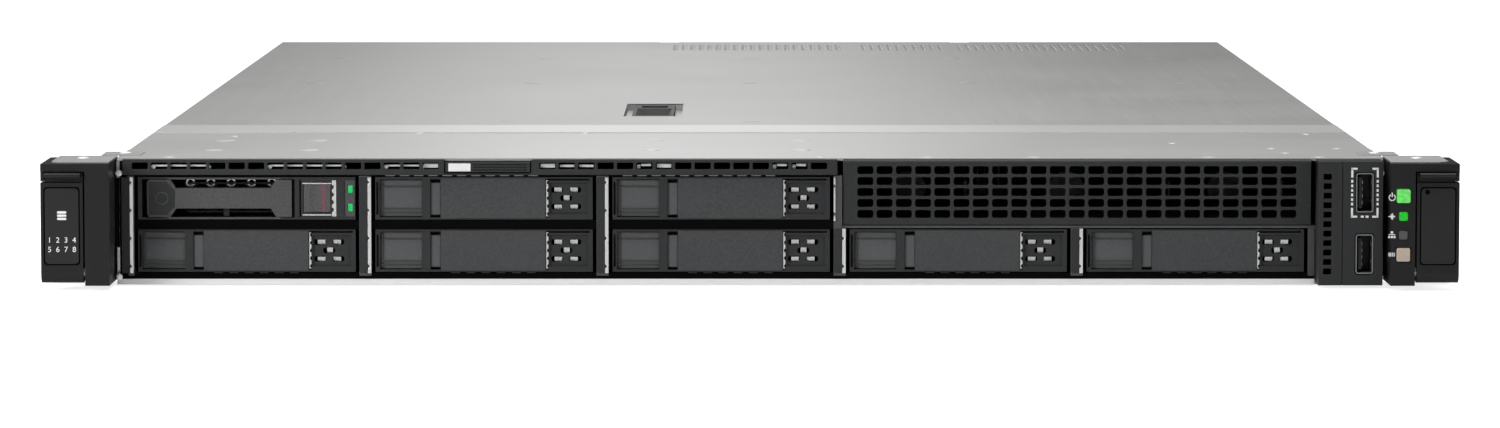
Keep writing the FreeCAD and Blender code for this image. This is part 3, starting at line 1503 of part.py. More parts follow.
def rounded_route(points):
    points = [V(*p) for p in points]
    edges = []
    start = points[0]
    radii = []
    for i in range(1, len(points) - 1):
        before = points[i - 1] - points[i]
        after = points[i + 1] - points[i]
        shorter = min(before.Length, after.Length)
        turn = math.pi - before.getAngle(after)
        radius = 0.45 * shorter / math.tan(turn / 2)
        radii.append(round(radius, 1))
        back = 0.45 * shorter
        a = points[i] + before.normalize() * back
        b = points[i] + after.normalize() * back
        bisector = (before + after).normalize()
        centre = points[i] + bisector * (radius / math.cos(turn / 2))
        middle = centre - bisector * radius
        edges.append(Part.LineSegment(start, a).toShape())
        edges.append(Part.Arc(a, middle, b).toShape())
        start = b
    edges.append(Part.LineSegment(start, points[-1]).toShape())
    return Part.Wire(edges), radii


def cable(points, radius, name):
    wire, radii = rounded_route(points)
    direction = V(*points[1]) - V(*points[0])
    section = polygon_rod(V(*points[0]), direction, radius, CABLE_SIDES).Faces[-2]
    tube = wire.makePipeShell([section.OuterWire], True, False)
    expected = section.Area * wire.Length
    print(name, "radii", radii, "volume", round(tube.Volume, 1), "expected", round(expected, 1))
    return tube


def panel_route():
    x = usb_centre_x()
    return [
        (x, FRONT + 7, CABLE_LOW),
        (x, FRONT + 45, CABLE_LOW),
        (x - 1.3, CAGE_BACK - 23, CABLE_LOW + 2.5),
        (x - 3.0, FAN_FRONT + 1, CABLE_LOW + 1.5),
        (x - 7.0, FAN_BACK + 3, CABLE_LOW + 0.4),
        (x - 9.5, BOARD_FRONT + 6, CABLE_LOW),
    ]


def drive_route():
    x = -INNER_HALF + DRIVE_CABLE_INSET
    return [
        (x, CAGE_BACK + FIT_GAP + BOARD_SHEET, CABLE_LOW + DRIVE_CABLE_RISE),
        (x - 1.5, FAN_FRONT - 3, CABLE_LOW + DRIVE_CABLE_RISE - 1.5),
        (x - 2.5, FAN_BACK - 12, CABLE_LOW + 6.5),
        (x + 1.0, FAN_BACK + 8, CABLE_LOW + 1.6),
        (x + 5.0, BOARD_FRONT + 6, CABLE_LOW),
    ]


def inner_cables():
    return group([
        cable(panel_route(), PANEL_CABLE_RADIUS, "panel cable"),
        cable(drive_route(), DRIVE_CABLE_RADIUS, "drive cable"),
    ])


# Cover and latch

def cover_front():
    return DECK_END + FIT_GAP


def top_cover():
    front = cover_front()
    sheet = box(-HALF_WIDTH, HALF_WIDTH, front, REAR, COVER_BOTTOM, TOP)
    ledge = box(-HALF_WIDTH - 1, HALF_WIDTH + 1, front - 1, front + LEDGE_DEPTH, TOP - LEDGE_STEP, TOP + 1)
    notches = []
    for share in REAR_NOTCH_SHARES:
        left = share * HALF_WIDTH - REAR_NOTCH_WIDTH / 2
        notches.append(box(left, left + REAR_NOTCH_WIDTH, REAR - 3, REAR + 1, COVER_BOTTOM - 1, TOP + 1))
    return cut(sheet, [latch_room(), ledge] + notches)


def cover_flanges():
    # The folded side flanges, which hang from the cover sheet inside the walls of the chassis.
    flanges = []
    end = REAR - SHEET - 4
    for side in (-1, 1):
        outer = side * (INNER_HALF - SLIDE_GAP)
        x0 = min(outer, outer - side * COVER_SHEET)
        low = TOP - COVER_FLANGE
        flanges.append(box(x0, x0 + COVER_SHEET, cover_front() + 4, end, low, COVER_BOTTOM))
    return group(flanges)


def latch_room():
    a = LATCH_POCKET_WIDTH / 2
    y1 = LATCH_START_Y + LATCH_POCKET_LENGTH
    return box(LATCH_X - a, LATCH_X + a, LATCH_START_Y, y1, TOP - LATCH_POCKET_DEPTH, TOP + 1)


def latch_pocket():
    a = LATCH_POCKET_WIDTH / 2
    y1 = LATCH_START_Y + LATCH_POCKET_LENGTH
    tray = box(
        LATCH_X - a - COVER_SHEET,
        LATCH_X + a + COVER_SHEET,
        LATCH_START_Y - COVER_SHEET,
        y1 + COVER_SHEET,
        TOP - LATCH_POCKET_DEPTH - COVER_SHEET,
        COVER_BOTTOM,
    )
    pin_y = LATCH_START_Y + LATCH_PIN_SETBACK
    pin = rod_x(LATCH_X - a - 0.4, LATCH_X + a + 0.4, pin_y, latch_pin_z(), COVER_PIN_RADIUS)
    return fuse([tray.cut(latch_room()), pin])


def latch_pin_z():
    return TOP - 1.7


def cover_latch():
    a = LATCH_LEVER_WIDTH / 2
    y = LATCH_START_Y + LATCH_PIN_SETBACK
    z = latch_pin_z()
    barrel = rod_x(LATCH_X - a, LATCH_X + a, y, z, 1.2)
    blade = box(LATCH_X - a, LATCH_X + a, y, y + LATCH_LENGTH, z - 0.4, z + 1.1)
    end = y + LATCH_LENGTH - 4
    finger_hole = box(LATCH_X - a + 3, LATCH_X + a - 3, end - 11, end, z - 2, z + 2)
    bore = rod_x(LATCH_X - a - 1, LATCH_X + a + 1, y, z, COVER_PIN_RADIUS + PIN_CLEARANCE)
    return fuse([barrel, blade]).cut([finger_hole, bore])


# Fasteners

def rail_studs():
    studs = []
    for share in STUD_SHARES:
        foot = V(HALF_WIDTH, FRONT + share * BODY_DEPTH, STUD_Z)
        shoulder = foot + V(STUD_NECK_LENGTH, 0, 0)
        neck = polygon_rod(foot, V(STUD_NECK_LENGTH, 0, 0), STUD_NECK_RADIUS, STUD_SIDES)
        head = polygon_rod(shoulder, V(STUD_HEAD_LENGTH, 0, 0), STUD_HEAD_RADIUS, STUD_SIDES)
        stud = fuse([neck, head])
        studs.append(stud)
        studs.append(mirrored(stud))
    return group(studs)


def screws():
    pieces = []
    for z in BRACKET_SCREW_Z:
        y = BRACKET_ARM - BRACKET_SCREW_INSET
        foot = V(HALF_WIDTH, y, z)
        shoulder = foot + V(BRACKET_SHEET, 0, 0)
        screw = fuse([
            polygon_rod(shoulder, V(SCREW_HEAD, 0, 0), SCREW_RADIUS, SCREW_SIDES),
            polygon_rod(foot, V(BRACKET_SHEET, 0, 0), SCREW_SHANK_RADIUS, SCREW_SIDES),
        ])
        pieces.append(screw)
        pieces.append(mirrored(screw))
    return group(pieces)


BLANKS = [(1, True), (2, True), (0, False), (1, False), (2, False), (3, False), (4, False)]

SINGLE_PARTS = {
    "chassis_tray": chassis_tray,
    "rear_panel": rear_panel,
    "front_deck": front_deck,
    "drive_cage": drive_cage,
    "vent_strip": vent_strip,
    "side_vent": side_vent,
    "usb_panel": usb_panel,
    "usb_ports": usb_ports,
    "drive_backplane": drive_backplane,
    "fan_cradle": fan_cradle,
    "fan_frames": fan_frames,
    "system_board": system_board,
    "processor_sockets": processor_sockets,
    "heat_sinks": heat_sinks,
    "memory_sockets": memory_sockets,
    "memory_modules": memory_modules,
    "air_baffle": air_baffle,
    "riser_cages": riser_cages,
    "riser_boards": riser_boards,
    "slot_covers": slot_covers,
    "rear_ports": rear_ports,
    "inner_cables": inner_cables,
    "ear_brackets": ear_brackets,
    "left_ear": left_ear,
    "right_ear": right_ear,
    "rack_screws": rack_screws,
    "status_lights": status_lights,
    "rail_studs": rail_studs,
    "screws": screws,
    "pull_tab": pull_tab,
    "media_bay_grille": media_bay_grille,
    "drive_carrier": drive_carrier,
    "carrier_drive": carrier_drive,
    "carrier_lever": carrier_lever,
    "carrier_button": carrier_button,
    "carrier_lights": carrier_lights,
    "top_cover": top_cover,
    "cover_flanges": cover_flanges,
    "latch_pocket": latch_pocket,
    "cover_latch": cover_latch,
}


def main():
    os.makedirs("parts", exist_ok=True)
    for node, make in SINGLE_PARTS.items():
        save(node, make())
    for number, (column, upper) in enumerate(BLANKS, start=1):
        save("bay_blank_" + str(number), bay_blank(column, upper))
    for index in range(FAN_COUNT):
        save("fan_rotor_" + str(index + 1), fan_rotor(index))
    for number, left in ((1, SUPPLY_1_LEFT), (2, SUPPLY_2_LEFT)):
        save("power_supply_" + str(number), power_supply(left))
        save("supply_latch_" + str(number), supply_latch(left))
    save("right_lever", ear_lever())
    save("left_lever", mirrored(ear_lever()))
    save("power_button", button(BUTTON_COLUMN_X, POWER_BUTTON_Z))
    save("locator_button", button(BUTTON_COLUMN_X, LOCATOR_BUTTON_Z))


main()
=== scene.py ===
# %% [markdown]
# A rack server is a flat steel box, one rack unit high, with charcoal plastic at its front.
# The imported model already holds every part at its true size, so it is loaded first as a fixed frame.
# The finer pieces are then modelled over it in the same metres, and each one rides on a body of the frame.

# %% Load the frame
import bpy
import math
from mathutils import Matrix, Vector


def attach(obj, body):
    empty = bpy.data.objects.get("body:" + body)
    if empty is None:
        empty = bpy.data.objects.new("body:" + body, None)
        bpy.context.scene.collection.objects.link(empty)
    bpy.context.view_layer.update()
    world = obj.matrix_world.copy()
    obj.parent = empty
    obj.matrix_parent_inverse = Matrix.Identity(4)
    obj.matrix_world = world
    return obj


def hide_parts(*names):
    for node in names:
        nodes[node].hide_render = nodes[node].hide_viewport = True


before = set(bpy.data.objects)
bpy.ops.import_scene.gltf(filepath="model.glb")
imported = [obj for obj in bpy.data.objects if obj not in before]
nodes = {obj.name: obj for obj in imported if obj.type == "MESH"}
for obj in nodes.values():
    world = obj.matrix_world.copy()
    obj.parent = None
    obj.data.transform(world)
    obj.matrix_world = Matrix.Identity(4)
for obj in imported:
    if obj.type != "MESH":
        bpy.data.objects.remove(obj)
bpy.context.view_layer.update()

MM = 0.001

# %% [markdown]
# The photograph was taken with a long lens from a little over two metres away, slightly above the server.
# A long lens keeps the two ends of the front almost the same size.
# The tilt shows a thin slice of the cover.
# The camera is set by its distance, height and tilt, and a 36 mm wide sensor.

# %% Set the camera
EAR_FRONT = -34.0
CAMERA_DISTANCE = 2074.6
CAMERA_HEIGHT = 195.6
CAMERA_TILT = 4.68
LENS = 146.9

camera_data = bpy.data.cameras.new("front_camera")
camera = bpy.data.objects.new("front_camera", camera_data)
bpy.context.scene.collection.objects.link(camera)
camera_data.lens = LENS
camera_data.sensor_width = 36.0
camera_data.clip_start = 0.05
camera_data.clip_end = 50.0
camera.location = (0.0, (EAR_FRONT - CAMERA_DISTANCE) * MM, CAMERA_HEIGHT * MM)
camera.rotation_euler = (math.radians(90.0 - CAMERA_TILT), 0.0, 0.0)
bpy.context.scene.camera = camera
print("camera at", [round(v, 3) for v in camera.location])

# %% [markdown]
# Every finish is a material made of nodes, and node sums are hard to read as long chains of links.
# So one small class wraps an output socket and answers to + - * and /.
# Each pattern then fits on one line.
# A second class holds a material and has a single method that adds any other node.

# %% A small language for finishes
class Wire:
    """An output socket that adds Math nodes when it is used in a sum."""

    def __init__(self, finish, socket):
        self.finish = finish
        self.socket = socket

    def math(self, operation, first, second):
        return self.finish.node("ShaderNodeMath", {"operation": operation}, {0: first, 1: second})

    def __add__(self, other):
        return self.math("ADD", self, other)

    def __radd__(self, other):
        return self.math("ADD", other, self)

    def __sub__(self, other):
        return self.math("SUBTRACT", self, other)

    def __rsub__(self, other):
        return self.math("SUBTRACT", other, self)

    def __mul__(self, other):
        return self.math("MULTIPLY", self, other)

    def __rmul__(self, other):
        return self.math("MULTIPLY", other, self)

    def __truediv__(self, other):
        return self.math("DIVIDE", self, other)

    def __rtruediv__(self, other):
        return self.math("DIVIDE", other, self)

    def __gt__(self, other):
        return self.math("GREATER_THAN", self, other)

    def __lt__(self, other):
        return self.math("LESS_THAN", self, other)


class Finish:
    """A material with one Principled shader and whatever patterns drive it."""

    def __init__(self, name, **constants):
        self.material = bpy.data.materials.new(name)
        self.material.use_nodes = True
        self.tree = self.material.node_tree
        self.tree.nodes.clear()
        self.shader = self.tree.nodes.new("ShaderNodeBsdfPrincipled")
        output = self.tree.nodes.new("ShaderNodeOutputMaterial")
        self.tree.links.new(self.shader.outputs[0], output.inputs["Surface"])
        for socket, value in constants.items():
            self.shader.inputs[socket.replace("_", " ")].default_value = value
        self.place = self.node("ShaderNodeTexCoord", {}, {}, "Object")

    def node(self, kind, settings, inputs, output=0):
        made = self.tree.nodes.new(kind)
        for name, value in settings.items():
            setattr(made, name, value)
        for name, value in inputs.items():
            if isinstance(value, Wire):
                self.tree.links.new(value.socket, made.inputs[name])
            else:
                made.inputs[name].default_value = value
        return Wire(self, made.outputs[output])

    def feed(self, socket, wire):
        self.tree.links.new(wire.socket, self.shader.inputs[socket])

    def stretched(self, x, y, z):
        return self.node("ShaderNodeMapping", {}, {"Vector": self.place, "Scale": (x, y, z)})

    def grain(self, scale, detail=2.0, place=None):
        inputs = {"Vector": place or self.place, "Scale": scale, "Detail": detail}
        return self.node("ShaderNodeTexNoise", {}, inputs)

    def blend_colour(self, amount, first, second):
        return self.node(
            "ShaderNodeMix", {"data_type": "RGBA"},
            {"Factor": amount, 6: first, 7: second}, 2,
        )

    def rise(self, height, strength, distance):
        inputs = {"Height": height, "Strength": strength, "Distance": distance}
        self.feed("Normal", self.node("ShaderNodeBump", {}, inputs))


def tone(red, green, blue):
    """A screen colour of 0 to 255 as the light values that a shader expects."""
    values = []
    for value in (red, green, blue):
        value /= 255.0
        values.append(value / 12.92 if value <= 0.04045 else ((value + 0.055) / 1.055) ** 2.4)
    return (*values, 1.0)


print("helpers ready")

# %% [markdown]
# The cover and chassis are zinc plated steel sheet, rolled in one direction.
# Rolling leaves fine streaks. Handling leaves cloudy patches, which change the gloss more than the colour.
# Noise stretched along one axis makes the streaks, and noise at a large scale makes the patches.

# %% Sheet metal finishes
def sheet_metal(name, light, dark, roughness, metallic, along):
    finish = Finish(name, Metallic=metallic)
    streaks = finish.grain(1.0, 3.0, finish.stretched(*along))
    clouds = finish.grain(14.0, 3.0)
    fine = finish.grain(900.0, 1.0)
    amount = streaks * 0.55 + clouds * 0.45
    finish.feed("Base Color", finish.blend_colour(amount, dark, light))
    finish.feed("Roughness", clouds * 0.12 + streaks * 0.08 + (roughness - 0.1))
    finish.rise(streaks * 0.7 + fine * 0.3, 0.12, 0.0002)
    return finish.material


ALONG_X = (8.0, 900.0, 900.0)
ALONG_Y = (900.0, 8.0, 900.0)
ALONG_Z = (900.0, 900.0, 12.0)
cover_metal = sheet_metal("cover_metal", tone(172, 172, 171), tone(146, 146, 145), 0.46, 0.35, ALONG_Y)
deck_metal = sheet_metal("deck_metal", tone(178, 178, 177), tone(158, 158, 157), 0.44, 0.35, ALONG_X)
# The near-white sheet on the next line is a painted highlight, used for the sill line, the glints behind the
# vent strip and the ear rivets.
painted_highlight_metal = sheet_metal("painted_highlight_metal", tone(236, 236, 235), tone(216, 216, 215), 0.35, 0.2, ALONG_X)
# The next sheet is a lit copy of the cover and deck metal: a painted sheen for the cover's front band and a
# painted highlight for the deck dimples.
painted_sheen_metal = sheet_metal("painted_sheen_metal", tone(190, 190, 189), tone(174, 174, 173), 0.42, 0.3, ALONG_X)
shell_metal = sheet_metal("shell_metal", tone(150, 150, 150), tone(96, 96, 97), 0.35, 0.8, ALONG_Z)
chassis_metal = sheet_metal("chassis_metal", tone(196, 196, 194), tone(166, 166, 165), 0.38, 0.7, ALONG_Y)
# The next sheet is painted shade: the cage steel darkened to stand for the shade inside the bays.
cage_metal_painted_shade = sheet_metal("cage_metal_painted_shade", tone(84, 84, 85), tone(62, 62, 63), 0.45, 0.5, ALONG_Y)
bright_metal = sheet_metal("bright_metal", tone(222, 222, 220), tone(190, 190, 189), 0.28, 0.85, ALONG_Z)
case_metal = sheet_metal("case_metal", tone(186, 187, 188), tone(160, 161, 162), 0.4, 0.7, ALONG_Y)
fin_metal = sheet_metal("fin_metal", tone(206, 208, 210), tone(176, 178, 180), 0.35, 0.85, ALONG_Z)
print("sheet metals:", 10)

# %% [markdown]
# The front plastics are moulded in a tool with a fine texture, which looks like speckled charcoal.
# One plain colour would look flat, so a very small noise gives the speckle and the bump.
# A larger noise dulls the gloss in places, as hands do.
# The inner plastics are smoother and darker, from the same recipe with other numbers.

# %% Moulded plastic finishes
def moulded(name, light, dark, roughness, speckle, depth, scale=1500.0, shine=0.24):
    finish = Finish(name, Specular_IOR_Level=shine)
    dots = finish.grain(scale, 2.0)
    clouds = finish.grain(30.0, 3.0)
    wear = finish.grain(160.0, 4.0)
    finish.feed("Base Color", finish.blend_colour(dots * speckle + clouds * (1.0 - speckle), dark, light))
    finish.feed("Roughness", dots * 0.1 + clouds * 0.08 + wear * 0.06 + (roughness - 0.12))
    finish.rise(dots * 0.8 + wear * 0.2, depth, 0.0002)
    return finish.material


charcoal = moulded("charcoal_plastic", tone(50, 51, 52), tone(31, 32, 33), 0.56, 0.7, 0.25)
ear_plastic = moulded("ear_plastic", tone(27, 27, 28), tone(19, 19, 20), 0.42, 0.5, 0.08)
black_plastic = moulded("black_plastic", tone(34, 34, 35), tone(22, 22, 23), 0.5, 0.5, 0.1)
socket_plastic = moulded("socket_plastic", tone(40, 40, 44), tone(26, 26, 30), 0.45, 0.4, 0.06)
speckled = moulded("speckled_plastic", tone(104, 104, 105), tone(36, 36, 37), 0.6, 0.95, 0.4, 1900.0)
maroon = moulded("maroon_plastic", tone(128, 84, 92), tone(92, 52, 62), 0.5, 0.6, 0.15)
beige = moulded("beige_cap", tone(196, 182, 166), tone(172, 158, 144), 0.45, 0.4, 0.06)
cable_rubber = moulded("cable_rubber", tone(40, 40, 41), tone(26, 26, 27), 0.62, 0.5, 0.12, 600.0)
# The next plastic is painted shade: near-black pieces set in gaps, slots and recesses where there is only
# shade.
painted_shade = moulded("painted_shade_black", tone(12, 12, 12), tone(6, 6, 6), 0.9, 0.5, 0.05, 1500.0, 0.02)
panel_plastic = moulded("panel_plastic", tone(38, 38, 39), tone(28, 28, 29), 0.45, 0.5, 0.08)
field_plastic = moulded("field_plastic", tone(76, 77, 78), tone(44, 45, 46), 0.58, 0.8, 0.3)
# The next plastic is painted light: a lighter copy of the field plastic that brightens the shaded floors of
# the grip and groove.
painted_light_plastic = moulded("painted_light_plastic", tone(92, 93, 94), tone(66, 67, 68), 0.6, 0.6, 0.2)
print("plastics:", 12)

# %% [markdown]
# A lit lens glows most in its middle and is a little clouded by the moulded diffuser behind it.
# An emission colour with a soft noise keeps it from looking flat, and the strength stays well below one.
# The circuit boards are green lacquer over copper tracks, and steps in the colour stand for the tracks.

# %% Lights and circuit boards
def lit_lens(name, colour, pale, glow):
    finish = Finish(name, Roughness=0.25, Emission_Strength=glow)
    clouds = finish.grain(700.0, 2.0)
    for socket in ("Base Color", "Emission Color"):
        finish.feed(socket, finish.blend_colour(clouds, colour, pale))
    finish.feed("Roughness", clouds * 0.2 + 0.18)
    finish.rise(clouds, 0.08, 0.0001)
    return finish.material


def lacquered_board(name):
    finish = Finish(name, Coat_Weight=0.3)
    tracks = finish.node(
        "ShaderNodeTexVoronoi", {"distance": "CHEBYCHEV", "feature": "F1"},
        {"Vector": finish.place, "Scale": 260.0},
    )
    lines = finish.grain(60.0, 4.0)
    amount = (tracks > 0.42) * 0.6 + lines * 0.4
    finish.feed("Base Color", finish.blend_colour(amount, tone(18, 62, 40), tone(34, 92, 58)))
    finish.feed("Roughness", lines * 0.2 + 0.3)
    finish.rise(tracks, 0.2, 0.0002)
    return finish.material


green_lens = lit_lens("green_lens", tone(4, 150, 70), tone(24, 208, 110), 0.22)
health_lens = lit_lens("health_lens", tone(0, 150, 12), tone(12, 190, 30), 0.3)
power_lens = lit_lens("power_lens", tone(64, 180, 64), tone(120, 226, 114), 0.3)
dark_lens = moulded("dark_lens", tone(92, 92, 93), tone(70, 70, 71), 0.35, 0.3, 0.04)
board_lacquer = lacquered_board("board_lacquer")
print("lenses and boards:", 5)

# %% [markdown]
# Each node of the frame that stays in view gets one of these finishes in place of its plain packed colour.
# A table of names by finish is easier to check than a line of code for each.

# %% Give the frame its finishes
FINISHES = [
    (chassis_metal, "chassis_tray rear_panel fan_cradle riser_cages ear_brackets"),
    (deck_metal, "front_deck"),
    (cover_metal, "top_cover cover_flanges latch_pocket"),
    (cage_metal_painted_shade, "drive_cage"),
    (bright_metal, "slot_covers rear_ports rack_screws rail_studs screws usb_ports processor_sockets"),
    (case_metal, "power_supply_1 power_supply_2 carrier_drive"),
    (fin_metal, "heat_sinks"),
    (charcoal, "vent_strip usb_panel pull_tab media_bay_grille drive_carrier carrier_lever side_vent"),
    (ear_plastic, "left_ear right_ear left_lever right_lever"),
    (black_plastic, "fan_frames air_baffle cover_latch"),
    (socket_plastic, "memory_sockets"),
    (board_lacquer, "drive_backplane system_board memory_modules riser_boards"),
    (cable_rubber, "inner_cables"),
    (green_lens, "carrier_lights"),
    (health_lens, "status_lights"),
    (power_lens, "power_button"),
    (beige, "locator_button"),
    (maroon, "carrier_button supply_latch_1 supply_latch_2"),
]


def paint(thing, material):
    thing.data.materials.clear()
    thing.data.materials.append(material)


for material, names in FINISHES:
    for name in names.split():
        paint(nodes[name], material)
for name, thing in nodes.items():
    if name.startswith("bay_blank"):
        paint(thing, charcoal)
    if name.startswith("fan_rotor"):
        paint(thing, black_plastic)
print("finished nodes:", sum(1 for n in nodes.values() if n.data.materials))

# %% [markdown]
# The server stands on a plain white floor under soft studio lamps.
# A white floor could be made with stronger lamps, but they would bleach the metal.
# So the floor adds a little light of its own, which only the camera and reflections see.
# It still takes the shadow.

# %% Floor, lamps and world
FLOOR_GLOW = 0.8
GLOSS_SHARE = 0.35
SKY_STRENGTH = 0.12

bpy.ops.object.select_all(action="DESELECT")
bpy.ops.mesh.primitive_plane_add(size=1, location=(0, 0.4, -0.0006), scale=(1, 1, 1))
floor = bpy.context.active_object
floor.name = "studio_floor"
floor.scale = (14, 14, 1)
bpy.ops.object.transform_apply(location=True, rotation=True, scale=True)
floor_finish = Finish("studio_floor_finish", Roughness=0.9, Specular_IOR_Level=0.1)
floor_finish.shader.inputs["Base Color"].default_value = (0.6, 0.6, 0.6, 1.0)
floor_finish.shader.inputs["Emission Color"].default_value = (1.0, 1.0, 1.0, 1.0)
path = floor_finish.tree.nodes.new("ShaderNodeLightPath")
by_camera = Wire(floor_finish, path.outputs["Is Camera Ray"])
by_gloss = Wire(floor_finish, path.outputs["Is Glossy Ray"])
by_glass = Wire(floor_finish, path.outputs["Is Transmission Ray"])
floor_finish.feed("Emission Strength", (by_camera + by_gloss * GLOSS_SHARE + by_glass) * FLOOR_GLOW)
paint(floor, floor_finish.material)

world = bpy.data.worlds.new("studio_world")
bpy.context.scene.world = world
world.use_nodes = True
sky = world.node_tree.nodes["Background"]
sky.inputs["Color"].default_value = (1.0, 1.0, 1.0, 1.0)
rays = world.node_tree.nodes.new("ShaderNodeLightPath")
share = world.node_tree.nodes.new("ShaderNodeMapRange")
share.inputs["To Min"].default_value = SKY_STRENGTH
share.inputs["To Max"].default_value = 1.0
world.node_tree.links.new(rays.outputs["Is Camera Ray"], share.inputs["Value"])
world.node_tree.links.new(share.outputs[0], sky.inputs["Strength"])


def lamp(name, place, target, power, width, height):
    data = bpy.data.lights.new(name, "AREA")
    data.shape = "RECTANGLE"
    data.size = width
    data.size_y = height
    data.energy = power
    thing = bpy.data.objects.new(name, data)
    bpy.context.scene.collection.objects.link(thing)
    thing.location = place
    direction = Vector(target) - Vector(place)
    thing.rotation_euler = direction.to_track_quat("-Z", "Y").to_euler()
    return thing


lamp("top_lamp", (0.05, -0.1, 1.5), (0.0, 0.05, 0.0), 31.0, 1.2, 0.9)
lamp("front_lamp", (-1.1, -0.85, 0.52), (-0.1, 0.0, 0.02), 14.0, 0.6, 0.5)
lamp("side_lamp", (1.6, -0.8, 0.7), (0.1, 0.1, 0.02), 0.9, 0.8, 0.8)
lamp("back_lamp", (-0.08, 2.8, 0.75), (0.0, 0.3, 0.04), 2.1, 0.4, 0.35)
print("lamps: 4")

bpy.context.scene.view_settings.view_transform = "Standard"

# %% [markdown]
# Pieces are now modelled as by hand: a primitive is added at its size and place, then shaped.
# These helpers take sizes in millimetres and leave each object at the origin, with its place in its mesh.
# Faces and edges are picked in code by their place, because a script has no mouse.

# %% Modelling helpers
def only(*things):
    bpy.ops.object.select_all(action="DESELECT")
    for thing in things:
        thing.select_set(True)
    bpy.context.view_layer.objects.active = things[0]


def settle(name):
    piece = bpy.context.active_object
    piece.name = name
    bpy.ops.object.transform_apply(location=True, rotation=True, scale=True)
    return piece


def block(name, x0, x1, y0, y1, z0, z1):
    bpy.ops.object.select_all(action="DESELECT")
    middle = [(x0 + x1) / 2 * MM, (y0 + y1) / 2 * MM, (z0 + z1) / 2 * MM]
    size = [(x1 - x0) * MM, (y1 - y0) * MM, (z1 - z0) * MM]
    bpy.ops.mesh.primitive_cube_add(size=1, location=middle)
    bpy.context.active_object.scale = size
    return settle(name)


def rod(name, start, axis, length, radius, sides=32):
    bpy.ops.object.select_all(action="DESELECT")
    way = {"X": Vector((1, 0, 0)), "Y": Vector((0, 1, 0)), "Z": Vector((0, 0, 1))}[axis]
    middle = (Vector(start) + way * (length / 2)) * MM
    turn = way.to_track_quat("Z", "Y").to_euler()
    bpy.ops.mesh.primitive_cylinder_add(
        vertices=sides, radius=radius * MM, depth=length * MM, location=middle, rotation=turn)
    return settle(name)


def edit(piece, kind, test):
    """Opens a piece in edit mode with the faces or edges that pass a test selected."""
    only(piece)
    bpy.ops.object.mode_set(mode="EDIT")
    bpy.ops.mesh.select_mode(type=kind)
    bpy.ops.mesh.select_all(action="DESELECT")
    bpy.ops.object.mode_set(mode="OBJECT")
    mesh = piece.data
    if kind == "FACE":
        for face in mesh.polygons:
            face.select = test(face.center / MM, face.normal)
    if kind == "EDGE":
        for edge in mesh.edges:
            a, b = (mesh.vertices[i].co / MM for i in edge.vertices)
            edge.select = test((a + b) / 2, (b - a).normalized())
    bpy.ops.object.mode_set(mode="EDIT")


def leave():
    bpy.ops.object.mode_set(mode="OBJECT")


def bevel_edges(piece, width, segments, test):
    edit(piece, "EDGE", test)
    bpy.ops.mesh.bevel(offset=width * MM, segments=segments, affect="EDGES")
    leave()


def modify(piece, kind, **settings):
    only(piece)
    step = piece.modifiers.new("step", kind)
    for name, value in settings.items():
        setattr(step, name, value)
    bpy.ops.object.modifier_apply(modifier=step.name)


def from_place(x, y, z):
    """Gives a maker of blocks whose sizes are counted from one place."""
    def make(name, x0, x1, y0, y1, z0, z1):
        return block(name, x + x0, x + x1, y + y0, y + y1, z + z0, z + z1)
    return make


def repeat(piece, count, x=0.0, y=0.0, z=0.0):
    modify(piece, "ARRAY", count=count, use_relative_offset=False, use_constant_offset=True,
           constant_offset_displace=(x * MM, y * MM, z * MM))


def punch(piece, *cutters):
    for cutter in cutters:
        modify(piece, "BOOLEAN", operation="DIFFERENCE", solver="EXACT", object=cutter)
        bpy.data.objects.remove(cutter)


def fuse(piece, *others):
    for other in others:
        modify(piece, "BOOLEAN", operation="UNION", solver="EXACT", object=other)
        bpy.data.objects.remove(other)


def soften(piece, width, segments=2, angle=40.0):
    modify(piece, "BEVEL", width=width * MM, segments=segments, limit_method="ANGLE",
           angle_limit=math.radians(angle), harden_normals=False)
    only(piece)
    bpy.ops.object.shade_smooth_by_angle(angle=math.radians(35.0))


def polish(piece, material, width, segments=2):
    """Rounds a piece's edges and gives it its finish."""
    soften(piece, width, segments)
    paint(piece, material)


def join(first, *others):
    only(first, *others)
    bpy.ops.object.join()
    return first


def assemble(name, *parts):
    whole = join(*parts)
    whole.name = name
    return whole


def twin(piece, name, x=0.0, y=0.0, z=0.0):
    only(piece)
    bpy.ops.object.duplicate(linked=False)
    copy = bpy.context.active_object
    copy.location = (x * MM, y * MM, z * MM)
    return settle(name)


def mirror_twin(piece, name):
    copy = twin(piece, name)
    edit(copy, "FACE", lambda place, normal: True)
    bpy.ops.transform.resize(value=(-1, 1, 1), center_override=(0, 0, 0))
    bpy.ops.mesh.flip_normals()
    leave()
    return copy


def rounded_slot(name, x, z, width, height, radius, y0, y1, segments=3):
    cutter = block(name, x - width / 2, x + width / 2, y0, y1, z - height / 2, z + height / 2)
    bevel_edges(cutter, radius, segments, lambda place, way: abs(way.y) > 0.9)
    return cutter


def fit(piece, material, body, slot, *replaced):
    if material:
        paint(piece, material)
    modify(piece, "WEIGHTED_NORMAL", keep_sharp=True, weight=100)
    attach(piece, body)
    if replaced:
        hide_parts(*replaced)


print("modelling helpers ready")

# %% [markdown]
# A closed bay is filled by a moulded blank, which is a shallow tray with its open side at the back.
# Its face has a sunk finger grip at the left, a plain field, and a small vented panel at the right.
# One blank is cut from a block and hollowed, and the other six are copies of it moved to their bays.

# %% Sizes of the bays
FRONT = -15.0
BAY_PITCH = 81.4
FIRST_PIECE = -210.0
PIECE_WIDTH = 74.6
PIECE_HALF = 7.3
LOW_BAY = 11.6
HIGH_BAY = 29.6
MIDDLE_Z = 21.6
BLANKS = [(1, HIGH_BAY), (2, HIGH_BAY)] + [(column, LOW_BAY) for column in range(5)]
VENT_PLACES = [(62.4, 2.9), (68.6, 2.9), (62.4, -2.9), (68.6, -2.9), (65.5, 0.0)]
print("bays:", len(BLANKS) + 1)

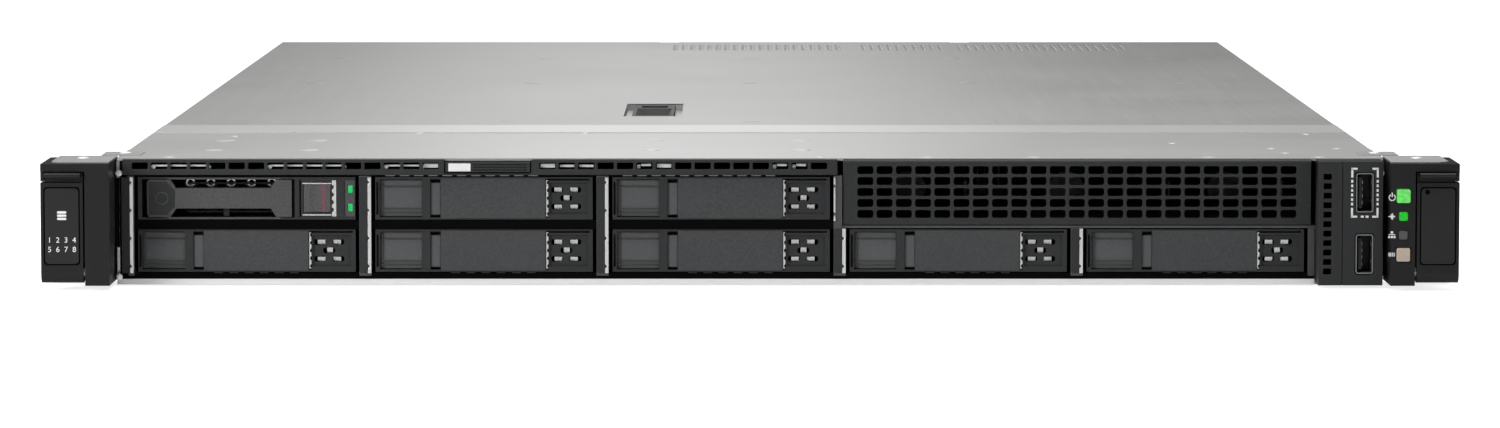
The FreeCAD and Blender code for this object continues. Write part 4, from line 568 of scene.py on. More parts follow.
# %% One blank, cut and hollowed
def make_blank():
    x, y, z = FIRST_PIECE, FRONT, LOW_BAY
    in_bay = from_place(x, y, z)
    blank = in_bay("bay_blank", 0.0, PIECE_WIDTH, 0.0, 46.0, -PIECE_HALF, PIECE_HALF)
    punch(
        blank,
        in_bay("hollow", 1.2, 73.4, 7.4, 50.0, -6.1, 6.1),
        in_bay("field_hollow", 24.0, 73.4, 2.2, 8.0, -6.1, 6.1),
        in_bay("grip", 1.5, 16.0, -1.0, 5.0, -6.5, 6.5),
        in_bay("edge_slit", 0.4, 1.1, -1.0, 3.0, -5.6, 5.6),
        in_bay("step", 18.9, 22.4, -1.0, 0.9, -6.6, 6.6),
        in_bay("step_top", 18.9, 22.4, -1.0, 4.0, 5.4, 6.6),
        in_bay("step_foot", 18.9, 22.4, -1.0, 4.0, -6.6, -5.8),
        in_bay("vent_inset", 59.8, 72.9, -1.0, 0.7, -5.4, 5.4),
        in_bay("vent_top", 59.0, 73.6, -1.0, 1.8, 6.1, 6.8),
        in_bay("spring_slit", 58.5, 59.5, -1.0, 3.4, -6.6, 6.6),
    )
    for dx, dz in VENT_PLACES:
        punch(blank, rounded_slot("vent", x + dx, z + dz, 4.1, 2.0, 0.8, y - 1.0, y + 3.0))
    soften(blank, 0.22)
    details = []
    for dz in (-4.9, -3.6, 4.0):
        details.append(in_bay("rib", 1.6, 15.9, 0.7, 1.6, dz - 0.15, dz + 0.15))
    details.append(in_bay("grip_wall", 2.2, 2.6, 0.7, 1.6, -6.0, 6.0))
    # The grip and groove floors take the lighter plastic as painted light against the shade of their recess.
    grip_floor = in_bay("grip_floor", 1.6, 15.9, 1.2, 1.7, -6.2, 6.2)
    groove_floor = in_bay("groove_floor", 19.1, 22.3, 0.6, 1.0, -5.6, 5.2)
    for part in (grip_floor, groove_floor):
        paint(part, painted_light_plastic)
    for detail in details:
        polish(detail, field_plastic, 0.12)
    paint(blank, charcoal)
    field = in_bay("field", 22.5, 58.4, -0.12, 0.3, -6.9, 6.9)
    polish(field, field_plastic, 0.1)
    details.append(field)
    # The lip below the blank is painted shade for the dark gap under it.
    lip = in_bay("lip_painted_shade", 0.6, 74.0, 0.3, 0.8, -PIECE_HALF - 0.9, -PIECE_HALF - 0.1)
    polish(lip, painted_shade, 0.1)
    details += [lip, grip_floor, groove_floor]
    foot_dashes = in_bay("low_dash", 26.0, 29.0, 0.2, 0.4, -PIECE_HALF - 0.55, -PIECE_HALF - 0.3)
    repeat(foot_dashes, 6, x=5.2)
    paint(foot_dashes, shell_metal)
    details.append(foot_dashes)
    # The plate behind the vents is painted shade.
    panel = in_bay("vent_back", 60.4, 72.4, 3.6, 4.0, -5.6, 5.6)
    paint(panel, painted_shade)
    details.append(panel)
    spring = in_bay("spring", 58.65, 59.35, 0.5, 3.0, -6.2, 6.2)
    notch = rod("notch", (x + 59.6, y, z - 5.4), "Y", 4.0, 0.75, 12)
    repeat(notch, 5, z=2.7)
    punch(spring, notch)
    paint(spring, bright_metal)
    clips = in_bay("clip", 61.4, 64.0, 3.0, 3.4, -4.6, -2.4)
    repeat(clips, 2, x=5.4)
    repeat(clips, 2, z=5.9)
    paint(clips, bright_metal)
    centre_clip = in_bay("centre_clip", 64.6, 66.6, 3.0, 3.4, -1.6, 1.4)
    paint(centre_clip, bright_metal)
    return join(blank, *details, spring, clips, centre_clip)


first_blank = make_blank()
print("faces in one blank:", len(first_blank.data.polygons))

# %% Copies of the blank in their bays
for place, (column, height) in enumerate(BLANKS, start=1):
    name = "bay_blank_%d" % place
    copy = twin(first_blank, "blank_%d" % place, x=column * BAY_PITCH, z=height - LOW_BAY)
    fit(copy, None, name, "charcoal_plastic", name)
bpy.data.objects.remove(first_blank)
print("blanks placed:", len(BLANKS))

# %% [markdown]
# The vent strip closes the front above the bays, and it is a long bar with one row of square slots.
# Cutting its slots one by one is slow, so one cutter is repeated along the strip by an array and used once.
# A pull tab slides out of a notch in the strip, and its ribs give the fingers a hold.

# %% Vent strip
STRIP_LEFT = -215.3
STRIP_RIGHT = 30.0
STRIP_BOTTOM = 37.7
TAB_LEFT = -104.4
TAB_RIGHT = -75.4
SLOT_PITCH = 6.65
strip = block("vent_strip_face", STRIP_LEFT, STRIP_RIGHT, -16.2, -7.0, STRIP_BOTTOM, 43.0)
step_cut = block("deck_room", STRIP_LEFT - 1, STRIP_RIGHT + 1, -13.5, -6.0, 42.1, 44.0)
slots = rounded_slot("slots", STRIP_LEFT + 6.1, 40.8, 5.5, 2.3, 0.35, -18.0, -6.0, 2)
repeat(slots, 16, x=SLOT_PITCH)
more_slots = rounded_slot("more_slots", TAB_RIGHT + 6.0, 40.8, 5.5, 2.3, 0.35, -18.0, -6.0, 2)
repeat(more_slots, 15, x=SLOT_PITCH)
notch = block("tab_notch", TAB_LEFT - 0.4, TAB_RIGHT + 0.4, -18.0, -6.0, 38.3, 44.0)
punch(strip, step_cut, slots, more_slots, notch)
soften(strip, 0.3, 3)
fit(strip, charcoal, "chassis", "charcoal_plastic", "vent_strip")
print("vent strip faces:", len(strip.data.polygons))

# %% Bright bars and studs behind some slots, painted as the highlights seen through them
# The bars and studs are painted highlights: near-white pieces that stand for the glints seen through these
# slots.
left_slot = STRIP_LEFT + 3.3
right_slot = TAB_RIGHT + 3.2
LONG_BARS = [(1, 3), (7, 10), (13, 14)]
SLOT_BARS = [
    (left_slot, 15, 40.1, 41.5), (right_slot, 0, 40.1, 41.5), (right_slot, 1, 40.3, 41.2),
    (right_slot, 2, 40.3, 41.2), (right_slot, 6, 40.1, 41.5),
]
SPLIT_BARS = [5, 12, 13]
bars = []
for first_slot, last_slot in LONG_BARS:
    x0 = left_slot + SLOT_PITCH * first_slot + 0.4
    x1 = left_slot + SLOT_PITCH * last_slot + 5.4
    bars.append(block("bar", x0, x1, -14.4, -13.9, 40.5, 41.2))
    for x in (x0 + 0.3, x1 + 1.0):
        bars.append(rod("stud", (x, -15.0, 40.4), "Y", 1.0, 0.75, 20))
for origin, slot, low, high in SLOT_BARS:
    x0 = origin + SLOT_PITCH * slot
    bars.append(block("bar", x0 + 0.3, x0 + 5.3, -14.6, -14.0, low, high))
for slot in SPLIT_BARS:
    x0 = right_slot + SLOT_PITCH * slot
    bars.append(block("bar", x0 + 0.2, x0 + 1.4, -14.4, -13.9, 39.7, 41.2))
    bars.append(block("bar", x0 + 1.6, x0 + 5.0, -14.4, -13.9, 40.6, 41.5))
for bar in bars:
    soften(bar, 0.12)
bars = assemble("strip_highlight_bars", *bars)
fit(bars, painted_highlight_metal, "chassis", "chassis_steel")
print("bars behind the strip ready")

# %% Pull tab
tab = block("pull_tab_body", TAB_LEFT, TAB_RIGHT, -16.4, -8.4, 38.7, 42.1)
tongue = block("tab_tongue", TAB_LEFT + 2, TAB_RIGHT - 2, -9.0, 61.6, 39.8, 41.0)
grooves = block("grooves", TAB_LEFT + 9.6, TAB_RIGHT - 1.0, -18.0, -16.0, 39.3, 39.6)
repeat(grooves, 3, z=0.9)
punch(tab, grooves)
soften(tab, 0.25)
soften(tongue, 0.2)
label = block("tab_label", TAB_LEFT + 1.0, TAB_LEFT + 8.6, -16.55, -16.35, 39.0, 41.7)
soften(label, 0.06)
white_label = moulded("white_label", tone(232, 232, 230), tone(214, 214, 212), 0.5, 0.4, 0.03)
for part in (tab, tongue):
    paint(part, charcoal)
paint(label, white_label)
tab = assemble("pull_tab_piece", tab, tongue, label)
fit(tab, None, "pull_tab", "charcoal_plastic", "pull_tab")
print("pull tab ready")

# %% [markdown]
# The media bay at the right is closed by a plastic grille with twenty three columns of rounded slots.
# An array in two directions makes the whole field of cutters from one rounded block.
# A thin frame stands round the field, and the sheet behind it is left thin so the slots look deep and dark.

# %% Media bay grille
GRILLE_LEFT = 31.9
GRILLE_RIGHT = 192.5
GRILLE_BOTTOM = 20.5
HOLE_STEP = 6.6
ROW_STEP = 3.77
grille = block("grille_face", GRILLE_LEFT, GRILLE_RIGHT, FRONT, FRONT + 1.8, GRILLE_BOTTOM, 43.0)
bevel_edges(
    grille, 1.2, 4,
    lambda place, way: abs(way.x) > 0.9 and place.y < FRONT + 0.1 and place.z > 42.0)
holes = rounded_slot(
    "holes", 112.2 - 11 * HOLE_STEP, 31.75 - 2 * ROW_STEP, 5.45, 2.75, 0.85, FRONT - 2, FRONT + 4, 4)
repeat(holes, 23, x=HOLE_STEP)
repeat(holes, 5, z=ROW_STEP)
punch(grille, holes)
soften(grille, 0.16)
walls = []
for x in (GRILLE_LEFT, GRILLE_RIGHT - 1.5):
    walls.append(block("grille_wall", x, x + 1.5, FRONT + 1.6, FRONT + 22.0, GRILLE_BOTTOM + 1, 41.4))
for wall in walls:
    soften(wall, 0.2)
grille = join(grille, *walls)
fit(grille, charcoal, "media_bay_grille", "charcoal_plastic", "media_bay_grille")
print("grille faces:", len(grille.data.polygons))

# %% [markdown]
# One bay holds a live drive, and its carrier has a long release lever, a push button and two lights.
# The lever is a flat bar that widens at both ends, so two long trays are cut from a block to leave it.
# A small ring is sunk into its wide end, where the thumb presses.

# %% Carrier lever
LEVER_Y = FRONT - 0.2
carrier_x = FIRST_PIECE
carrier_z = HIGH_BAY
on_carrier = from_place(carrier_x, FRONT, carrier_z)


def wedge_cut(name, side):
    """A long tray with sloping ends that is cut from above or below the lever's bar."""
    low, high = sorted((carrier_z + side * 3.5, carrier_z + side * 9.0))
    cutter = block(name, carrier_x + 9.6, carrier_x + 49.0, FRONT - 3, FRONT + 9, low, high)
    edit(cutter, "EDGE", lambda place, way: abs(way.y) > 0.9 and abs(place.z - carrier_z) < 5.0)
    bpy.ops.transform.resize(value=(0.825, 1, 1), center_override=((carrier_x + 29.3) * MM, 0, 0))
    leave()
    return cutter


lever = block(
    "carrier_lever_bar", carrier_x + 3.1, carrier_x + 52.8, LEVER_Y, LEVER_Y + 4.0, carrier_z - 6.4,
    carrier_z + 6.4)
bevel_edges(lever, 1.2, 3, lambda place, way: abs(way.y) > 0.9 and place.x < carrier_x + 5)
ring = rod("ring", (carrier_x + 8.2, LEVER_Y - 1.0, carrier_z), "Y", 1.25, 2.1, 32)
ring_core = rod("ring_core", (carrier_x + 8.2, LEVER_Y - 1.5, carrier_z), "Y", 3.0, 1.5, 32)
punch(ring, ring_core)
punch(
    lever, wedge_cut("upper_tray", 1), wedge_cut("lower_tray", -1), ring,
    rod("pin_bore", (carrier_x + 4.8, FRONT + 1.8, carrier_z - 10.0), "Z", 20.0, 1.06, 24),
)
soften(lever, 0.3, 3)
pad_hollow = block(
    "pad_hollow", carrier_x + 3.6, carrier_x + 12.8, LEVER_Y - 1, LEVER_Y + 0.12, carrier_z - 5.8,
    carrier_z + 5.8)
punch(lever, pad_hollow)
hook = on_carrier("lever_hook", 50.8, 52.8, 3.3, 6.2, -2.0, 2.0)
soften(hook, 0.2)
charcoal_grain = moulded("lever_grain", tone(92, 92, 93), tone(44, 44, 45), 0.58, 0.9, 0.4, 1700.0)
paint(hook, charcoal)
paint(lever, charcoal_grain)
pad = block(
    "pad", carrier_x + 3.7, carrier_x + 12.6, LEVER_Y - 0.02, LEVER_Y + 0.5, carrier_z - 5.7,
    carrier_z + 5.7)
bevel_edges(pad, 2.9, 1, lambda place, way: abs(way.y) > 0.9 and place.x > carrier_x + 10)
pad_ring = rod("pad_ring", (carrier_x + 8.2, LEVER_Y - 1.0, carrier_z), "Y", 1.3, 2.3, 32)
punch(pad, pad_ring)
polish(pad, charcoal, 0.08)
pad_disc = rod("pad_disc", (carrier_x + 8.2, LEVER_Y + 0.05, carrier_z), "Y", 0.4, 1.7, 32)
polish(pad_disc, charcoal, 0.1)
lever = join(lever, hook, pad, pad_disc)
fit(lever, None, "carrier_lever", "charcoal_plastic", "carrier_lever")
print("lever faces:", len(lever.data.polygons))

# %% Release button with its maroon stripe
button = on_carrier("carrier_button_cap", 56.9, 66.1, -0.2, 5.4, -4.75, 4.75)
scoop = rod("scoop", (carrier_x + 61.5, FRONT - 9.4, carrier_z - 6), "Z", 12.0, 9.6, 96)
punch(button, scoop)
polish(button, speckled, 0.25)
stripe = on_carrier("stripe", 63.0, 64.7, -0.18, 2.0, -4.7, 4.7)
polish(stripe, maroon, 0.1)
button = join(button, stripe)
fit(button, None, "carrier_button", "latch_plastic", "carrier_button")
print("button ready")

# %% [markdown]
# The carrier's face is a frame round the lever and the button, with a spring strip and a light panel.
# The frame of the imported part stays, and the thin trim that the photograph shows is laid into it.

# %% Carrier trim
trim = []
# The back plate is painted shade: a near-black plate behind the lever where there is only shade.
back_plate = on_carrier("carrier_back", 2.0, 72.0, 6.8, 7.2, -6.6, 6.6)
back_slots = rounded_slot(
    "back_slots", carrier_x + 17.5, carrier_z + 4.6, 4.6, 2.4, 0.8, FRONT + 5, FRONT + 8)
repeat(back_slots, 5, x=7.0)
more_back_slots = rounded_slot(
    "more_back_slots", carrier_x + 17.5, carrier_z - 4.6, 4.6, 2.4, 0.8, FRONT + 5, FRONT + 8)
repeat(more_back_slots, 5, x=7.0)
punch(back_plate, back_slots, more_back_slots)
polish(back_plate, painted_shade, 0.1)
trim.append(back_plate)
spring = on_carrier("carrier_spring", 66.6, 68.0, -0.15, 2.6, -6.2, 6.2)
bites = rod("bites", (carrier_x + 66.4, FRONT - 1, carrier_z - 3.9), "Y", 5.0, 0.85, 12)
repeat(bites, 4, z=2.6)
punch(spring, bites)
paint(spring, bright_metal)
trim.append(spring)
light_panel = on_carrier("light_panel", 71.2, 74.4, -0.15, 0.1, -6.2, 6.2)
for side in (-1, 1):
    window = rounded_slot(
        "window", carrier_x + 72.9, carrier_z + side * 3.15, 1.7, 2.8, 0.4, FRONT - 1, FRONT + 1)
    punch(light_panel, window)
polish(light_panel, charcoal_grain, 0.06)
trim.append(light_panel)
for z0, z1 in ((carrier_z + 4.9, carrier_z + 5.4), (carrier_z - 5.9, carrier_z - 5.4)):
    edge = block("button_edge", carrier_x + 56.4, carrier_x + 66.4, FRONT - 0.1, FRONT + 0.3, z0, z1)
    polish(edge, bright_metal, 0.1)
    trim.append(edge)
for k in range(5):
    tongue_piece = rod(
        "mesh_ring", (carrier_x + 17.5 + 7.0 * k, FRONT + 6.3, carrier_z + 5.0), "Y", 0.6, 1.5, 20)
    core = rod("mesh_core", (carrier_x + 17.5 + 7.0 * k, FRONT + 5.0, carrier_z + 5.0), "Y", 3.0, 1.0, 20)
    punch(tongue_piece, core)
    paint(tongue_piece, bright_metal)
    trim.append(tongue_piece)
wing = on_carrier("button_wing", 68.3, 70.8, -0.12, 0.3, -6.2, 6.2)
polish(wing, charcoal, 0.12)
trim.append(wing)
# The frame lines are painted shade in the narrow gaps beside the button.
for x0, x1 in ((carrier_x + 53.2, carrier_x + 53.7), (carrier_x + 55.4, carrier_x + 55.9)):
    line = block("frame_line", x0, x1, FRONT - 0.1, FRONT + 0.4, carrier_z - 6.4, carrier_z + 6.4)
    paint(line, painted_shade)
    trim.append(line)
for side in (-1, 1):
    bar_low = on_carrier("tray_bar", 16.5, 47.5, 4.6, 5.0, side * 4.9 - 0.3, side * 4.9 + 0.3)
    paint(bar_low, charcoal)
    rim = on_carrier("tray_rim", 10.0, 49.0, -0.1, 0.4, side * 6.8 - 0.3, side * 6.8 + 0.3)
    polish(rim, charcoal_grain, 0.1)
    trim += [bar_low, rim]
post = on_carrier("tray_post", 29.0, 31.0, 4.3, 5.2, -6.4, -3.7)
polish(post, charcoal_grain, 0.15)
trim.append(post)
carrier_trim = assemble("carrier_trim", *trim)
fit(carrier_trim, None, "drive_carrier", "charcoal_plastic")
print("carrier trim pieces:", len(trim))

# %% Lit windows of the carrier
lenses = []
for side in (-1, 1):
    lens = rounded_slot(
        "lens", carrier_x + 72.9, carrier_z + side * 3.15, 1.6, 2.7, 0.35, FRONT + 0.0, FRONT + 1.4)
    soften(lens, 0.1)
    lenses.append(lens)
lenses = assemble("carrier_lenses", *lenses)
fit(lenses, green_lens, "drive_carrier", "green_light", "carrier_lights")
print("carrier lenses: 2")

# %% [markdown]
# The bay dividers are folded sheet, so each shows a dark face and a bright cut edge at its right.
# Small notches in the bright edge let the spring strips of the carriers click into place.
# The edge strip is modelled once, notched by a repeated wedge, and copied to each divider.

# %% Bright divider edges
CAGE_FOOT = 3.9
CAGE_TOP = 36.9
SHORT_TOP = 19.3
EDGE_SHIFT = 1.35
NOTCH_PITCH = 9.6


def divider_x(column):
    """The right side of the divider before a column of bays."""
    return FIRST_PIECE - 1.0 + BAY_PITCH * column


def divider_edge(name, x, z0, z1, width=1.2):
    edge = block(name, x - 0.2, x - 0.2 + width, FRONT - 1.2, FRONT + 4.0, z0, z1)
    wedge = rod("wedge", (x - 0.45, FRONT - 2.0, z0 + 2.4), "Y", 4.0, 1.0, 4)
    repeat(wedge, int((z1 - z0) / NOTCH_PITCH) + 1, z=NOTCH_PITCH)
    punch(edge, wedge)
    soften(edge, 0.12)
    fit(edge, bright_metal, "chassis", "cage_steel")
    return edge


cage_edges = [
    divider_edge("divider_edge_0", -212.6, CAGE_FOOT, CAGE_TOP),
    divider_edge("divider_edge_1", divider_x(1) - EDGE_SHIFT, CAGE_FOOT, CAGE_TOP),
    divider_edge("divider_edge_2", divider_x(2) - EDGE_SHIFT, CAGE_FOOT, CAGE_TOP),
    divider_edge("divider_edge_3", divider_x(3) - 4.3, 21.9, CAGE_TOP, 0.6),
    divider_edge("divider_edge_4", divider_x(3) - EDGE_SHIFT, CAGE_FOOT, SHORT_TOP),
    divider_edge("divider_edge_5", divider_x(4) - EDGE_SHIFT, CAGE_FOOT, SHORT_TOP),
]
print("divider edges:", len(cage_edges))

# %% Dark faces of the dividers
for k in range(1, 5):
    x = divider_x(k)
    top = CAGE_TOP if k < 3 else SHORT_TOP - 0.1
    face = block("divider_face_%d" % k, x - 4.4, x - 1.5, FRONT - 0.9, FRONT - 0.55, CAGE_FOOT, top)
    bevel_edges(face, 0.8, 3, lambda place, way: abs(way.y) > 0.9 and place.x < x - 3)
    soften(face, 0.08)
    fit(face, charcoal, "chassis", "cage_steel")
# The rails are painted shade: near-black strips in the dark rows above and between the bays.
top_rail = block("cage_rail_top", -214.0, 29.0, FRONT - 0.25, FRONT + 0.2, 37.2, 37.7)
middle_rail = block("cage_rail_middle", -214.0, 30.0, FRONT - 0.25, FRONT + 0.2, 19.0, 22.1)
for rail in (top_rail, middle_rail):
    polish(rail, painted_shade, 0.1)
rail_dash = block("rail_dash", -125.0, -121.8, FRONT - 0.45, FRONT - 0.2, 37.3, 37.6)
repeat(rail_dash, 11, x=4.9)
more_dashes = twin(rail_dash, "more_dashes", x=BAY_PITCH)
for part in (rail_dash, more_dashes):
    paint(part, shell_metal)
top_rail = join(top_rail, rail_dash, more_dashes)
fit(top_rail, None, "chassis", "cage_steel")
fit(middle_rail, None, "chassis", "cage_steel")
first_face = block("divider_face_0", -215.6, -213.0, FRONT - 0.9, FRONT - 0.55, CAGE_FOOT, CAGE_TOP)
soften(first_face, 0.08)
fit(first_face, charcoal, "chassis", "cage_steel")
print("divider faces: 5")

# %% [markdown]
# The sill is the folded front edge of the chassis floor, and it catches the light as one bright line. That
# line is a painted highlight in the sill's near-white finish, and a painted shade band lies behind it.

# %% Bright sill
sill = block("front_sill", -217.0, 193.8, FRONT - 0.6, FRONT - 0.1, 0.0, 1.9)
polish(sill, painted_highlight_metal, 0.12)
# The band behind the sill is painted shade.
sill_back = block("sill_back", -217.0, 193.8, FRONT - 0.3, FRONT + 0.2, 1.8, 3.9)
polish(sill_back, painted_shade, 0.1)
sill = join(sill, sill_back)
fit(sill, None, "chassis", "chassis_steel")
print("sill ready")

# %% [markdown]
# Two narrow columns stand proud of the bays at the right: a vented one, and one with two sockets.
# Each is a block with softened edges, and the windows are cut through it.

# %% Vented column
COLUMN_FRONT = FRONT - 11.0
SIDE_STEP = 3.24


def column(name, left, width):
    piece = block(name, left, left + width, COLUMN_FRONT, FRONT + 8.0, 2.7, 42.1)
    foot = block("foot", left, left + width, COLUMN_FRONT, FRONT - 0.2, 0.6, 2.9)
    brow = block("brow", left, left + width, COLUMN_FRONT, FRONT + 1.4, 42.0, 43.0)
    fuse(piece, foot, brow)
    punch(piece, block("room", left + 1.4, left + width - 1.4, COLUMN_FRONT + 1.4, FRONT + 9.0, 3.8, 40.7))
    return piece


side_column = column("side_vent_column", 194.2, 8.0)
side_holes = rounded_slot(
    "side_holes", 197.2, MIDDLE_Z - 5 * SIDE_STEP, 2.8, 2.05, 0.3, COLUMN_FRONT - 1, COLUMN_FRONT + 3, 2)
repeat(side_holes, 11, z=SIDE_STEP)
punch(side_column, side_holes)
soften(side_column, 0.3, 3)
fit(side_column, charcoal, "chassis", "black_plastic", "side_vent")
print("side column faces:", len(side_column.data.polygons))

# %% Socket column with two upright sockets
USB_X = 209.85
USB_PLACES = (32.4, 11.4)
usb_column = column("usb_column", 202.4, 13.7)
for z in USB_PLACES:
    hole = rounded_slot("socket_hole", USB_X, z, 6.6, 14.1, 0.9, COLUMN_FRONT - 1, COLUMN_FRONT + 3)
    punch(usb_column, hole)
soften(usb_column, 0.3, 3)
fit(usb_column, charcoal, "chassis", "charcoal_plastic", "usb_panel")
print("socket column ready")

# %% Socket shells, tongues and contacts
shells = []
for z in USB_PLACES:
    at_socket = from_place(USB_X, COLUMN_FRONT, z)
    shell = rounded_slot("usb_shell", USB_X, z, 6.0, 13.5, 0.8, COLUMN_FRONT - 0.2, COLUMN_FRONT + 12.0)
    punch(shell, rounded_slot("usb_room", USB_X, z, 5.2, 12.7, 0.5, COLUMN_FRONT - 1, COLUMN_FRONT + 11.0))
    for dz in (3.2, -3.2):
        punch(shell, rounded_slot(
            "spring_hole", USB_X + 2.6, z + dz, 2.0, 1.6, 0.3, COLUMN_FRONT + 1.5, COLUMN_FRONT + 5.0))
    polish(shell, shell_metal, 0.08)
    tongue_block = at_socket("usb_tongue", -2.1, -0.8, 0.6, 11.5, -5.35, 5.35)
    polish(tongue_block, socket_plastic, 0.15)
    lining = at_socket("usb_lining", -2.55, 2.55, 10.4, 11.1, -6.3, 6.3)
    polish(lining, socket_plastic, 0.1)
    bars = at_socket("usb_contact", -0.8, -0.65, 1.6, 9.0, -4.0, -3.0)
    repeat(bars, 4, z=2.3)
    paint(bars, bright_metal)
    tail = block("usb_tail", USB_X - 3.0, USB_X + 3.0, COLUMN_FRONT + 11.0, FRONT + 7.0, z - 5.75, z + 5.75)
    polish(tail, bright_metal, 0.2)
    shells += [shell, tongue_block, lining, bars, tail]
sockets = assemble("usb_sockets", *shells)
fit(sockets, None, "chassis", "bright_plate", "usb_ports")
print("socket pieces:", len(shells))

# %% Dashed white frame round the upper socket
white_ink = moulded("white_ink", tone(236, 236, 236), tone(222, 222, 222), 0.6, 0.3, 0.02)
FRAME_HALF_WIDTH = 4.35
FRAME_HALF_HEIGHT = 8.2
INK_THICKNESS = 0.12
HALF_LINE = 0.34
dashes = []


def ink(x0, x1, z0, z1):
    y = COLUMN_FRONT - INK_THICKNESS / 2
    dashes.append(block("ink", x0, x1, y, y + INK_THICKNESS, z0, z1))


frame_z = USB_PLACES[0]
for side in (-1, 1):
    edge_x = USB_X + side * FRAME_HALF_WIDTH
    for k in range(6):
        z = frame_z - 3.9 + 1.56 * k
        ink(edge_x - HALF_LINE, edge_x + HALF_LINE, z - 0.46, z + 0.46)
    for upward in (-1, 1):
        end = frame_z + upward * FRAME_HALF_HEIGHT
        a, b = sorted((end, end - upward * 3.0))
        ink(edge_x - HALF_LINE, edge_x + HALF_LINE, a, b)
        a, b = sorted((edge_x + side * HALF_LINE, edge_x - side * 1.8))
        ink(a, b, end - HALF_LINE, end + HALF_LINE)
foot = frame_z - FRAME_HALF_HEIGHT
for k in range(2):
    x = USB_X - 1.35 + 1.7 * k
    ink(x, x + 1.0, foot - HALF_LINE, foot + HALF_LINE)
dash_frame = assemble("socket_frame_marks", *dashes)
fit(dash_frame, white_ink, "chassis", "charcoal_plastic")
print("dashes:", len(dashes))

# %% [markdown]
# The ears carry the levers that lock the server into the rack, and the right one carries the buttons.
# Each ear's lever is a thick plate with a sunk panel, a lip at its top for the finger and a rounded toe.
# The right lever is modelled and then mirrored for the left, because they differ only in their hand.

# %% Ear lever
LEVER_LEFT = 226.9
LEVER_WIDTH = 14.4
LEVER_RIGHT = LEVER_LEFT + LEVER_WIDTH
LEVER_HIGH = 39.8
PIN_Y = -30.4
PIN_Z = 5.6
on_lever = from_place(LEVER_LEFT, EAR_FRONT, LEVER_HIGH)
ear_lever = on_lever("ear_lever", 0.0, LEVER_WIDTH, 0.0, 7.2, -37.8, -3.4)
bevel_edges(ear_lever, 3.5, 8, lambda place, way: abs(way.x) > 0.9 and place.z < 3.0)
neck = on_lever("lever_neck", 0.0, LEVER_WIDTH - 1.2, 1.4, 7.2, -3.6, 0.0)
lip = on_lever("lever_lip", 0.7, LEVER_WIDTH - 1.5, -2.6, 3.0, -1.6, 0.0)
bevel_edges(lip, 0.8, 3, lambda place, way: abs(way.x) > 0.9 and place.y < EAR_FRONT - 2)
fuse(ear_lever, neck, lip)
panel_x = (LEVER_LEFT + LEVER_RIGHT) / 2
punch(
    ear_lever,
    rounded_slot("panel", panel_x, MIDDLE_Z, 12.4, 26.8, 1.0, EAR_FRONT - 1, EAR_FRONT + 0.45, 4),
    rod("lever_bore", (LEVER_LEFT - 1, PIN_Y, PIN_Z), "X", 17.0, 1.56, 32),
    on_lever("lever_room", 1.6, LEVER_WIDTH - 1.6, 2.0, 9.0, -27.0, -6.8),
)
polish(ear_lever, ear_plastic, 0.35, 3)
lever_panel = rounded_slot(
    "lever_panel", panel_x, MIDDLE_Z, 11.5, 25.9, 1.3, EAR_FRONT + 0.05, EAR_FRONT + 0.7, 4)
polish(lever_panel, panel_plastic, 0.2)
# The gap round the panel is painted shade.
lever_gap = rounded_slot(
    "lever_gap", panel_x, MIDDLE_Z, 12.2, 26.6, 1.2, EAR_FRONT + 0.3, EAR_FRONT + 0.6, 4)
paint(lever_gap, painted_shade)
ear_lever = join(ear_lever, lever_panel, lever_gap)
left_ear_lever = mirror_twin(ear_lever, "left_ear_lever")
ear_lever.name = "right_ear_lever"
# The pin hole is a painted shade disc, not a cut hole.
pin_hole = rod("pin_hole", (230.4, EAR_FRONT - 0.02, 33.2), "Y", 0.3, 0.85, 24)
paint(pin_hole, painted_shade)
ear_lever = join(ear_lever, pin_hole)
fit(ear_lever, None, "right_lever", "ear_plastic", "right_lever")
fit(left_ear_lever, None, "left_lever", "ear_plastic", "left_lever")
print("lever faces:", len(ear_lever.data.polygons))

# %% [markdown]
# The ear itself is a hollow column beside the lever with a flat band over the lever's top.
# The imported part's shell is rebuilt here with softened edges, because a sharp edge never catches the light.

# %% Ear shells
EAR_INNER = 218.0
COLUMN_RIGHT = 226.3
WALL = 1.6
EAR_LOW = 1.2
EAR_HIGH = 42.8
BUTTON_X = 222.3
POWER_Z = 31.8
HEALTH_Z = 24.9
NETWORK_Z = 18.5
LOCATOR_Z = 11.8
RACK_SCREW_X = 234.1


def ear_shell():
    shell = block("ear_shell", EAR_INNER, COLUMN_RIGHT, EAR_FRONT, -2.0, EAR_LOW, EAR_HIGH)
    band = block("ear_band", EAR_INNER + 0.5, LEVER_RIGHT, EAR_FRONT, -2.0, EAR_HIGH - 2.6, EAR_HIGH)
    wall = block("ear_wall", EAR_INNER + 0.5, LEVER_RIGHT, -8.0, -2.0, EAR_LOW, EAR_HIGH - 0.5)
    cheek = block("ear_cheek", LEVER_RIGHT - 1.1, LEVER_RIGHT, EAR_FRONT + 0.4, -2.5, 36.9, EAR_HIGH - 0.4)
    fuse(shell, band, wall, cheek)
    punch(
        shell,
        block(
            "ear_room", EAR_INNER + WALL, COLUMN_RIGHT - WALL, EAR_FRONT + WALL, -1.0, EAR_LOW + WALL,
            40.6),
        rod("screw_room", (RACK_SCREW_X, -9.0, MIDDLE_Z), "Y", 8.0, 4.6, 32),
    )
    return shell


